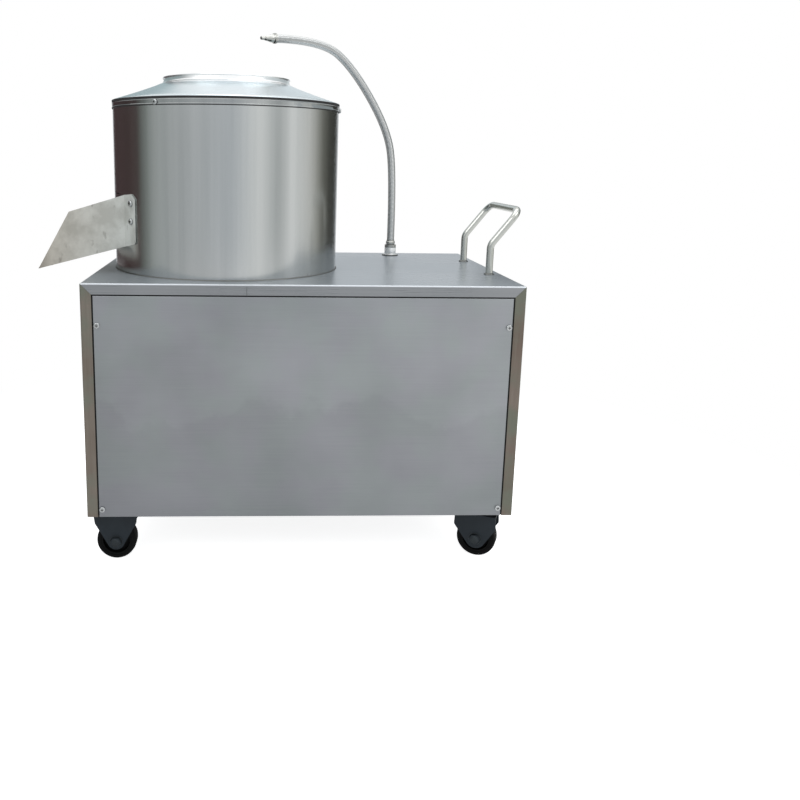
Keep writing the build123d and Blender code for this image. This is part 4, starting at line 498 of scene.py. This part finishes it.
rod_steel = bright_metal("polished_stainless_rod", "#cdcfca", 0.16, 9, 0.85)
dress(rod_steel, "push_handle")
weld_steel = bright_metal("brushed_off_weld", "#7c7e7d", 0.42, 2, 0.6)
rod_low, rod_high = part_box("push_handle")
rod_radius, solid_bead, handle_bead = 0.007, 0.003, 0.0034
leg_inset = rod_radius + solid_bead
for leg, y in (("front", rod_low.y + leg_inset), ("rear", rod_high.y - leg_inset)):
    weld_bead("handle_weld_" + leg, rod_radius, (rod_low.x + leg_inset, y, top_level),
              handle_bead, 72, weld_steel)


# Drum: stainless sheet rolled to a cylinder and brushed. The brushing and the rolling leave
# soft upright bands, a little lighter and darker by turns, and a dull seam at the back.
drum_low, drum_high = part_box("drum_floor")
drum_x, drum_y = (drum_low.x + drum_high.x) / 2, (drum_low.y + drum_high.y) / 2
drum_radius, rim_level = 0.225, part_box("drum_shell")[1].z


def rolled_steel(name, light, dark, above=()):
    """Brushed sheet bent round the drum's axis, with soft upright bands. above gives levels past
    which the metal takes a paler colour, and that colour; on the cover these are partly its
    brighter polish and partly a painted highlight."""
    # Real brush lines are under 0.1 mm wide. They are drawn as wide as they need to show.
    brush_mm, brush_length_mm, band_mm, band_length_mm, roughness = 1.6, 260, 26, 900, 0.2
    finish, tree, place = new_finish(name)
    centred = add_node(tree, "ShaderNodeMapping", {"Location": (-drum_x, -drum_y, 0)},
                       {"Vector": place["Object"]})
    turn = add_node(tree, "ShaderNodeTexGradient", {"gradient_type": "RADIAL"},
                    {"Vector": centred})
    arc = add_node(tree, "ShaderNodeMath", {"operation": "MULTIPLY", 1: math.tau * drum_radius},
                   {0: turn.outputs["Fac"]})
    level = add_node(tree, "ShaderNodeSeparateXYZ", {}, {0: place["Object"]})
    unrolled = add_node(tree, "ShaderNodeCombineXYZ", {}, {"X": arc, "Z": level.outputs["Z"]})
    wide = add_node(tree, "ShaderNodeMapping",
                    {"Scale": (1000 / band_mm, 1, 1000 / band_length_mm)}, {"Vector": unrolled})
    band = add_node(tree, "ShaderNodeTexNoise", {"Scale": 1, "Detail": 2, "Roughness": 0.55},
                    {"Vector": wide})
    fine = add_node(tree, "ShaderNodeMapping",
                    {"Scale": (1000 / brush_mm, 1, 1000 / brush_length_mm)}, {"Vector": unrolled})
    brush = add_node(tree, "ShaderNodeTexNoise", {"Scale": 1, "Detail": 2}, {"Vector": fine})
    mixed = add_node(tree, "ShaderNodeMix", {"data_type": "FLOAT", 0: 0.14},
                     {2: band.outputs["Fac"], 3: brush.outputs["Fac"]})
    spread = add_node(tree, "ShaderNodeMapRange", {"From Min": 0.32, "From Max": 0.68},
                      {"Value": mixed})
    colour = add_node(tree, "ShaderNodeMix", {"data_type": "RGBA", 6: srgb(dark), 7: srgb(light)},
                      {0: spread}).outputs[2]
    sheen = add_node(tree, "ShaderNodeMapRange", {"To Min": roughness - 0.02,
                     "To Max": roughness + 0.02}, {"Value": brush.outputs["Fac"]})
    for floor_level, polish in above:
        past = add_node(tree, "ShaderNodeMapRange", {"From Min": floor_level - 0.001,
                        "From Max": floor_level + 0.001}, {"Value": level.outputs["Z"]})
        colour = add_node(tree, "ShaderNodeMix", {"data_type": "RGBA", 7: srgb(polish)},
                          {0: past, 6: colour}).outputs[2]
    lines = add_node(tree, "ShaderNodeBump", {"Strength": 0.03, "Distance": 0.0002},
                     {"Height": brush.outputs["Fac"]})
    body = add_node(tree, "ShaderNodeBsdfPrincipled", {"Metallic": 1.0},
                    {"Base Color": colour, "Roughness": sheen, "Normal": lines})
    add_node(tree, "ShaderNodeOutputMaterial", {}, {"Surface": body})
    return finish


drum_sheet = rolled_steel("brushed_stainless_drum_sheet", "#cbcdcd", "#bec1c1")
dress(drum_sheet, "drum_shell", "discharge_door", "drum_floor")
drum_bead = 0.0022
weld_bead("drum_foot_weld", drum_radius, (drum_x, drum_y, top_level), drum_bead, 360,
          weld_steel)

seam_width, seam_turn, seam_rise, seam_crown = 0.005, math.radians(62), 0.0004, 0.0003
seam_foot, seam_length = 0.006, rim_level - top_level - 0.024
flat_sheet(seam_width, seam_length)
bpy.ops.mesh.subdivide(number_cuts=40)
bpy.ops.mesh.extrude_region_move(TRANSFORM_OT_translate={"value": (0, 0, seam_rise)})
pick("FACE", lambda face: face.calc_center_median().z > seam_rise * 0.75
     and abs(face.calc_center_median().x) < seam_width * 0.3)
bpy.ops.transform.translate(value=(0, 0, seam_crown))
bpy.ops.mesh.select_all(action="SELECT")
bpy.ops.mesh.normals_make_consistent(inside=False)
bpy.ops.object.mode_set(mode="OBJECT")
seam = bpy.context.object
seam.rotation_euler = (math.radians(90), 0, seam_turn + math.radians(90))
seam.location = (drum_x + math.cos(seam_turn) * drum_radius,
                 drum_y + math.sin(seam_turn) * drum_radius,
                 top_level + seam_foot + seam_length / 2)
fix("drum_seam", "root", weld_steel, 50)


# Liner and door pad: silicon carbide grit, about 1.6 mm, bonded to sheet in dark resin. It
# looks dark, rough and dull, with light on single grains.
grit = coated("carborundum_grit_in_resin", "#34312f", "#5a5651", 1.6, 0.8, patch_mm=12,
              skin=1.0)
dress(grit, "abrasive_liner", "door_pad")


# Feed cover: one stainless disc spun to a cone, with a rolled lip round the mouth, a shoulder that
# stands over the skirt, and a hem at the skirt's edge. The skirt is brushed as the drum is. The
# cone is a paler bluish grey, partly its polish and partly a painted reflection of the light
# above. The mouth is near white, a painted highlight.
round_steps = 160               # facets round the cover and its rubber
cover_low, cover_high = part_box("feed_cover")
skirt_radius, skirt_low = cover_high.x - drum_x, cover_low.z
mouth_radius, sheet = 0.1255, 0.0015
cone_foot, lip_radius, lip_top = rim_level + 0.0016, 0.0014, cover_high.z
cone_head, hem_low, groove_low = lip_top - 0.0110, cone_foot - 0.0012, cone_foot - 0.0052
lip_x, lip_z = mouth_radius - sheet + lip_radius, lip_top - lip_radius
cover_line = [(drum_radius + 0.0002, skirt_low), (skirt_radius, skirt_low),
              (skirt_radius, skirt_low + 0.0012), (skirt_radius - 0.0005, skirt_low + 0.002),
              (skirt_radius - 0.0005, groove_low - 0.0016),
              (skirt_radius - 0.0001, groove_low - 0.0010),
              (skirt_radius - 0.0002, groove_low), (drum_radius + 0.0006, groove_low),
              (drum_radius + 0.0006, hem_low), (skirt_radius - 0.0002, hem_low),
              (skirt_radius, cone_foot - 0.0008), (skirt_radius - 0.0009, cone_foot - 0.0001)]
cone_steps = 8
for step in range(1, cone_steps):
    share = step / cone_steps
    sag = 0.0010 * math.sin(share * math.pi)
    cover_line.append((skirt_radius - 0.0009 - share * (skirt_radius - 0.0069 - mouth_radius),
                       cone_foot + share * (cone_head - 0.0025 - cone_foot) - sag))
cover_line += [(mouth_radius + 0.0042, cone_head - 0.0012), (mouth_radius + 0.0018, cone_head),
               (mouth_radius + 0.0006, cone_head + 0.0014), (mouth_radius, cone_head + 0.0036)]
cover_line += [(lip_x + lip_radius * math.cos(a), lip_z + lip_radius * math.sin(a))
               for a in [math.radians(d) for d in (-120, -60, -20, 20, 60, 90, 125, 160)]]
cover_line += [(mouth_radius - sheet, lip_z), (mouth_radius - sheet, cone_head + 0.0012),
               (mouth_radius - sheet + 0.0012, cone_head - 0.0022),
               (mouth_radius + 0.0040, cone_head - 0.0044),
               (drum_radius - 0.004, rim_level + 0.0018),
               (drum_radius + 0.0002, rim_level + 0.0002),
               (drum_radius + 0.0002, skirt_low)]
lathe(cover_line, (drum_x, drum_y, 0), round_steps)
# Two paler steps: the cone's polish with a painted reflection, then the mouth's painted highlight
cover_steel = rolled_steel("spun_and_polished_stainless_cover", "#b8bbbb", "#a7aaab",
                           [(hem_low, "#d8e3e8"), (cone_head - 0.004, "#fafcfd")])
cover = fix("spun_feed_cover", "root", cover_steel, 32)
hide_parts("feed_cover")

# Black rubber: a bead in the groove under the cone's hem, and a thin edge under the skirt. Both
# are dark rings that stand for the shadow lines at the joint, a painted shadow. Moulded rubber has
# a soft sheen and no shine.
bead_line = [(drum_radius + 0.0007, groove_low), (skirt_radius - 0.0003, groove_low + 0.0004),
             (skirt_radius - 0.0003, hem_low - 0.0004), (drum_radius + 0.0007, hem_low),
             (drum_radius + 0.0007, groove_low)]
trim_line = [(drum_radius + 0.0001, skirt_low - 0.0016),
             (skirt_radius - 0.0004, skirt_low - 0.0016),
             (skirt_radius - 0.0002, skirt_low - 0.0008), (skirt_radius - 0.0004, skirt_low),
             (drum_radius + 0.0001, skirt_low), (drum_radius + 0.0001, skirt_low - 0.0016)]
rubber = coated("black_moulded_rubber", "#1c1c1d", "#2c2c2d", 1.2, 0.7)
for name, line in (("cone_seal_bead", bead_line), ("skirt_edge_trim", trim_line)):
    lathe(line, (drum_x, drum_y, 0), round_steps)
    fix(name, "root", rubber, 40)
dress(rubber, "door_seal", "shaft_seal", "drive_belts")


# Discharge chute: sheared and welded stainless, never polished. Starch and wet hands leave it dull
# and blotched, and painted shade darkens its lip.
def stained_sheet(name, light, dark, stain, roughness, lip, root):
    """Dull sheet with clouds of dried starch and dark scuffs. Painted shade darkens it along the
    lip. It is warm near the lip, and cooler and paler towards the root."""
    cloud_mm, scuff_mm, stained_width = 46, (13, 13, 26), 0.026
    finish, tree, place = new_finish(name)
    along = add_node(tree, "ShaderNodeSeparateXYZ", {}, {0: place["Object"]})
    cloud = add_node(tree, "ShaderNodeTexNoise", {"Scale": 1000 / cloud_mm, "Detail": 5,
                     "Roughness": 0.6}, {"Vector": place["Object"]})
    spread = add_node(tree, "ShaderNodeMapRange", {"From Min": 0.38, "From Max": 0.60},
                      {"Value": cloud.outputs["Fac"]})
    colour = add_node(tree, "ShaderNodeMix", {"data_type": "RGBA", 6: srgb(dark), 7: srgb(light)},
                      {0: spread})
    inward = add_node(tree, "ShaderNodeMapRange", {"From Min": lip, "From Max": root},
                      {"Value": along.outputs["X"]})
    cast = add_node(tree, "ShaderNodeMix", {"data_type": "RGBA", 6: srgb("#ddd4cb"),
                    7: srgb("#fdffff")}, {0: inward})
    tinted = add_node(tree, "ShaderNodeMix", {"data_type": "RGBA", "blend_type": "MULTIPLY",
                      0: 1.0}, {6: colour.outputs[2], 7: cast.outputs[2]})
    scuffs = add_node(tree, "ShaderNodeMapping", {"Scale": [1000 / size for size in scuff_mm]},
                      {"Vector": place["Object"]})
    spots = add_node(tree, "ShaderNodeTexNoise", {"Scale": 1, "Detail": 3}, {"Vector": scuffs})
    scuffed = add_node(tree, "ShaderNodeMapRange", {"From Min": 0.64, "From Max": 0.78},
                       {"Value": spots.outputs["Fac"]})
    # Painted shade along the lip, broken up by the starch clouds
    edge = add_node(tree, "ShaderNodeMapRange", {"From Min": lip + stained_width,
                    "From Max": lip}, {"Value": along.outputs["X"]})
    dirt = add_node(tree, "ShaderNodeMath", {"operation": "MULTIPLY"}, {0: edge, 1: spread})
    dark_share = add_node(tree, "ShaderNodeMath", {"operation": "MAXIMUM"}, {0: scuffed, 1: dirt})
    dark_part = add_node(tree, "ShaderNodeMath", {"operation": "MULTIPLY", 1: 0.58},
                         {0: dark_share})
    soiled = add_node(tree, "ShaderNodeMix", {"data_type": "RGBA", 7: srgb(stain)},
                      {0: dark_part, 6: tinted.outputs[2]})
    body = add_node(tree, "ShaderNodeBsdfPrincipled", {"Metallic": 0.35, "Roughness": roughness},
                    {"Base Color": soiled.outputs[2]})
    add_node(tree, "ShaderNodeOutputMaterial", {}, {"Surface": body})
    return finish


chute_low, chute_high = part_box("discharge_chute")
chute_sheet = stained_sheet("starch_stained_stainless_chute", "#d9dbd7", "#c0c1bc", "#5d564c", 0.6,
                            chute_low.x, chute_high.x)
dress(chute_sheet, "discharge_chute", "door_hinge_straps")


# Spray hose: an interlocked strip of plated steel wound round a rubber tube, so it shows as close
# ridges. It holds the bend that a hand gives it. The strip is bright, with painted shade between
# the ridges.
hose_foot = Vector((0.225, 0.214, top_level))
hose_run = Vector((drum_x - hose_foot.x, drum_y - hose_foot.y, 0)).normalized()
# Distance out towards the drum and height above the top plate
hose_route = [(0.0, 0.034), (-0.001, 0.197), (0.023, 0.293), (0.121, 0.417), (0.205, 0.468),
              (0.318, 0.462)]
hose_radius, ridge_depth, ridge_round, ridge_pitch = 0.0085, 0.0004, 0.00005, 0.0030
bpy.ops.curve.primitive_nurbs_path_add(location=(0, 0, 0))
route = bpy.context.object
spline = route.data.splines[0]
spline.points.add(len(hose_route) - len(spline.points))
for point, (out, up) in zip(spline.points, hose_route):
    point.co = (*(hose_foot + hose_run * out + Vector((0, 0, up))), 1)
spline.order_u, spline.use_endpoint_u = 3, True
route.data.resolution_u, route.data.twist_mode = 24, "MINIMUM"
course = bpy.data.meshes.new_from_object(route)
hose_length = sum((course.vertices[e.vertices[0]].co - course.vertices[e.vertices[1]].co).length
                  for e in course.edges)
hose_end = course.vertices[-1].co.copy()
hose_aim = (hose_end - course.vertices[-2].co).normalized()
ridges = round(hose_length / ridge_pitch)
pitch = hose_length / ridges
lathe([(hose_radius - ridge_depth, 0), (hose_radius - ridge_round, pitch * 0.15),
       (hose_radius, pitch * 0.5), (hose_radius - ridge_round, pitch * 0.85),
       (hose_radius - ridge_depth, pitch)], (0, 0, 0), 24)
hose = bpy.context.object
wind = hose.modifiers.new("wind", "ARRAY")
wind.count, wind.use_relative_offset, wind.use_constant_offset = ridges, False, True
wind.constant_offset_displace = (0, 0, pitch)
wind.use_merge_vertices, wind.merge_threshold = True, 0.0001
bend = hose.modifiers.new("bend", "CURVE")
bend.object, bend.deform_axis = route, "POS_Z"
bpy.ops.object.select_all(action="DESELECT")
hose.select_set(True)
bpy.context.view_layer.objects.active = hose
bpy.ops.object.modifier_apply(modifier="wind")
bpy.ops.object.modifier_apply(modifier="bend")
# Painted shade between the ridges
hose_steel = bright_metal("plated_steel_strip", "#c3c5c5", 0.1, 14, 0.9, grime=0.3)
hose = fix("ridged_spray_hose", "hose", hose_steel, 60)
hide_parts("spray_hose")
bpy.data.objects.remove(route)

# Ferrule and nozzle: turned brass, nickel-plated to a warm, soft shine. The ferrule is crimped
# on the hose's foot, and the nozzle screws on its end by a knurled collar.
ferrule_low = top_level + 0.0256
ferrule_line = [(0.0070, 0), (0.0098, 0), (0.0104, 0.0008), (0.0104, 0.0064), (0.0096, 0.0076),
                (0.0088, 0.0080), (0.0088, 0.0110), (0.0070, 0.0110), (0.0070, 0)]
lathe(ferrule_line, (hose_foot.x, hose_foot.y, ferrule_low), 48)
# The plating carries painted shade in its recesses and where it meets other parts
plated = bright_metal("nickel_plated_brass", "#c6c7c3", 0.2, 5, grime=0.6)
fix("hose_ferrule", "hose", plated, 40)

collar_radius, tip_radius = 0.0100, 0.0036
nozzle_line = [(0, 0), (collar_radius - 0.001, 0), (collar_radius, 0.0008),
               (collar_radius, 0.0056), (collar_radius - 0.001, 0.0064), (0.0080, 0.0072),
               (0.0080, 0.0120), (0.0068, 0.0160), (0.0050, 0.0240), (0.0044, 0.0272),
               (tip_radius, 0.0282), (tip_radius, 0.0352), (tip_radius - 0.0006, 0.0360),
               (0.0015, 0.0360), (0.0015, 0.0285), (0, 0.0285)]
nozzle_steps = 48
nozzle = lathe(nozzle_line, (0, 0, 0), nozzle_steps)


def on_knurl(face):
    """True for every second face round the nozzle's collar."""
    middle = face.calc_center_median()
    step = math.floor(math.atan2(middle.y, middle.x) * nozzle_steps / math.tau)
    return 0.0010 < middle.z < 0.0050 and abs(face.normal.z) < 0.1 and step % 2 == 0


knurl_rise = 0.0004
bpy.ops.object.mode_set(mode="EDIT")
pick("FACE", on_knurl)
bpy.ops.mesh.extrude_faces_move(TRANSFORM_OT_shrink_fatten={"value": knurl_rise})
bpy.ops.object.mode_set(mode="OBJECT")
nozzle.rotation_euler = hose_aim.to_track_quat("Z", "Y").to_euler()
nozzle.location = hose_end
nozzle = fix("turned_spray_nozzle", "hose", plated, 35)
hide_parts("spray_nozzle")


# Hose socket: a turned and plated boss, and a hexagon that takes the spanner, on a black
# washer that seals them to the top plate. The nut is dull stainless, which spreads the light
# and looks nearly white.
dress(plated, "hose_socket")
nut_steel = bright_metal("dull_stainless_nut", "#fdfeff", 0.4, 4, 1.0)
nut_flats, nut_bore = 0.0246, 0.01205
nut_low, nut_high = top_level + 0.0026, top_level + 0.0185
nut_half = (nut_high - nut_low) / 2
bpy.ops.mesh.primitive_cylinder_add(
    vertices=6, radius=nut_flats / math.sqrt(3), depth=nut_high - nut_low,
    location=(hose_foot.x, hose_foot.y, (nut_low + nut_high) / 2))
bpy.ops.object.mode_set(mode="EDIT")
pick("FACE", lambda face: abs(face.normal.z) > 0.9)
bpy.ops.mesh.inset(thickness=nut_flats / 2 - nut_bore, use_even_offset=True,
                   use_individual=True)
bpy.ops.mesh.bridge_edge_loops()
# The outer corners of both ends are turned off
pick("EDGE", lambda edge: all(abs(abs(v.co.z) - nut_half) < 1e-6 and
                              v.co.xy.length > nut_flats * 0.55 for v in edge.verts))
bpy.ops.mesh.bevel(offset=nut_flats * 0.05, segments=2, affect="EDGES")
bpy.ops.object.mode_set(mode="OBJECT")
fix("socket_nut", "root", nut_steel, 30)

washer_line = [(0.0181, 0), (0.0190, 0), (0.0190, 0.0008), (0.0186, 0.0012), (0.0181, 0.0012),
               (0.0181, 0)]
lathe(washer_line, (hose_foot.x, hose_foot.y, top_level), 64)
fix("socket_washer", "root", rubber, 40)


# Water side: a stainless pipe, a plated ball valve on the rear panel with a red vinyl grip on
# its lever, and the drain pipe in a black rubber grommet. Pickling leaves the pipes grey and
# half dull, and the dipped vinyl is a plain red with a soft shine.
pipe_steel = bright_metal("pickled_stainless_pipe", "#a9acac", 0.34, 8)
dress(pipe_steel, "drain_pipe", "water_pipe")
dress(plated, "ball_valve")
drain_low, drain_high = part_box("drain_pipe")
grommet_clear = 0.0002
drain_radius = (drain_high.x - drain_low.x) / 2
drain_level = drain_low.z + drain_radius
grommet_line = [(0, 0.0), (0.0050, 0.0), (0.0064, 0.0006), (0.0070, 0.0020), (0.0064, 0.0034),
                (0.0050, 0.0040), (0.0006, 0.0044), (0, 0.0040), (0, 0)]
grommet = lathe([(drain_radius + grommet_clear + out, up) for out, up in grommet_line],
                (0, 0, 0), 72)
grommet.rotation_euler = (math.radians(-90), 0, 0)
grommet.location = ((drain_low.x + drain_high.x) / 2, half_depth, drain_level)
fix("drain_grommet", "root", rubber, 40)
vinyl = coated("red_vinyl_grip", "#9c2019", "#b03a30", 2, 0.5)
dress(vinyl, "valve_lever")


# Turntable and drive: a cast aluminium disc, rubbed to a grey shine by the potatoes, on a
# bright turned shaft. The pulleys and the bearing housing are matt grey iron, as cast, and the
# motor has a smooth blue enamel.
cast_table = bright_metal("cast_aluminium_table", "#a5a7a9", 0.5, 5, 0.6)
dress(cast_table, "turntable")
turned = bright_metal("turned_steel", "#b0b1b2", 0.3, 5)
dress(turned, "turntable_cap", "main_shaft", "shaft_bearings", "motor_shaft")
cast_iron = coated("grey_iron_as_cast", "#4a4c4e", "#606264", 2, 0.6, skin=0.5)
dress(cast_iron, "bearing_housing", "drive_pulley", "motor_pulley")
motor_paint = coated("blue_motor_enamel", "#3c5a73", "#4a6a84", 2, 0.42)
dress(motor_paint, "motor_body", "motor_fan_cover")


# Switch box: light grey moulded ABS, half dull from the fine spark-eroded skin of its mould.
# Each button is a dished, glossy cap in a bright chromed ring, and four screws hold the lid.
# The cable's gland is smooth black nylon.
abs_plastic = coated("light_grey_moulded_abs", "#c4c4bd", "#b6b6af", 0.8, 0.5)
dress(abs_plastic, "switch_box")
box_low, box_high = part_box("switch_box")
box_depth, cap_stand = 0.060, 0.005
lid_face = half_width + box_depth
chrome = bright_metal("chromed_button_ring", "#c8cacc", 0.14, 5)
cap_line = [(0, 0.0072), (0.0060, 0.0076), (0.0100, 0.0084), (0.0122, 0.0090), (0.0134, 0.0084),
            (0.0140, 0.0072), (0.0140, 0), (0.0080, 0), (0.0080, -0.0170), (0, -0.0170)]
ring_line = [(0.0152, 0.0002), (0.0186, 0.0002), (0.0198, 0.0010), (0.0198, 0.0040),
             (0.0188, 0.0048), (0.0162, 0.0048), (0.0152, 0.0040), (0.0152, 0.0002)]
for name, colour, worn in [("start", "#1f8a45", "#2a9450"), ("stop", "#b5201c", "#c02a26")]:
    plastic = coated(name + "_button_gloss_plastic", colour, worn, 1, 0.3, patch_mm=20, skin=0.1)
    button_low, button_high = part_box(name + "_button")
    level = (button_low.z + button_high.z) / 2
    cap = lathe(cap_line, (0, 0, 0), 48)
    cap.rotation_euler = (0, math.radians(90), 0)
    cap.location = (lid_face + cap_stand, 0, level)
    cap = fix(name + "_button_cap", name,
              plastic, 35)
    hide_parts(name + "_button")
    ring = lathe(ring_line, (0, 0, 0), 64)
    ring.rotation_euler = (0, math.radians(90), 0)
    ring.location = (lid_face, 0, level)
    fix(name + "_button_ring", "root", chrome, 35)
nylon = coated("black_nylon", "#1b1b1c", "#262627", 1, 0.5)
dress(nylon, "cable_gland")


# Lid screws: stainless cheese heads with a slot, sunk in the lid's corners. Each one stops at
# its own turn.
head_radius, head_depth, head_sunk = 0.0034, 0.0020, 0.0015
slot_half, slot_depth, corner_inset = 0.0005, 0.0009, 0.011
first_turn, turn_between = 10, 35
for index, (across, up) in enumerate([(-1, -1), (-1, 1), (1, -1), (1, 1)]):
    bpy.ops.mesh.primitive_cylinder_add(vertices=24, radius=head_radius, depth=head_depth,
                                        end_fill_type="NGON", location=(0, 0, 0))
    bpy.ops.object.mode_set(mode="EDIT")
    for cut in (-slot_half, slot_half):
        bpy.ops.mesh.select_all(action="SELECT")
        bpy.ops.mesh.bisect(plane_co=(cut, 0, 0), plane_no=(1, 0, 0))
    pick("FACE", lambda face: face.normal.z > 0.9
         and abs(face.calc_center_median().x) < slot_half * 0.5)
    bpy.ops.mesh.extrude_region_move(TRANSFORM_OT_translate={"value": (0, 0, -slot_depth)})
    bpy.ops.object.mode_set(mode="OBJECT")
    screw = bpy.context.object
    screw.rotation_euler = (math.radians(first_turn + turn_between * index), math.radians(90), 0)
    screw.location = (lid_face - head_sunk, across * (box_high.y - corner_inset),
                      (box_low.z + box_high.z) / 2
                      + up * ((box_high.z - box_low.z) / 2 - corner_inset))
    fix(f"lid_screw_{index + 1}", "root", screw_steel, 30)


# Casters: brackets pressed from 3 mm steel and painted blue-black, with solid black rubber
# wheels that hardly shine. A pressed cap with dull, dark plating covers each end of an axle.
caster_paint = coated("blue_black_caster_enamel", "#1c252c", "#242d34", 1.5, 0.45, gloss=0.3)
dress(caster_paint, "fixed_caster_brackets", "swivel_caster_heads", "swivel_fork_front",
      "swivel_fork_rear")
tyre = coated("black_rubber_wheel", "#070808", "#0d0e0e", 1.5, 0.65, gloss=0.12)
dress(tyre, "wheel_front_left", "wheel_rear_left", "wheel_front_right", "wheel_rear_right")
cap_steel = bright_metal("dull_plated_axle_cap", "#3f4447", 0.4, 4)
axle_cap_line = [(0, 0.0078), (0.0045, 0.0074), (0.0080, 0.0058), (0.0104, 0.0030),
                 (0.0112, 0.0008), (0.0126, 0.0006), (0.0126, 0), (0.0110, 0),
                 (0.0098, 0.0026), (0, 0.0062)]
cheek_face, swivel_rest = 0.0210, -25
for name, body, turn in [("front_left", "root", 0), ("rear_left", "root", 0),
                         ("front_right", "swivel_front", swivel_rest),
                         ("rear_right", "swivel_rear", swivel_rest)]:
    wheel_low, wheel_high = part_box("wheel_" + name)
    hub = (wheel_low + wheel_high) / 2
    for end, sign in (("outer", -1), ("inner", 1)):
        cap = lathe(axle_cap_line, (0, 0, 0), 40)
        axis = Vector((-math.sin(math.radians(turn)), math.cos(math.radians(turn)), 0)) * sign
        cap.rotation_euler = axis.to_track_quat("Z", "X").to_euler()
        cap.location = hub + axis * cheek_face
        fix(f"axle_cap_{name}_{end}", body, cap_steel, 40)
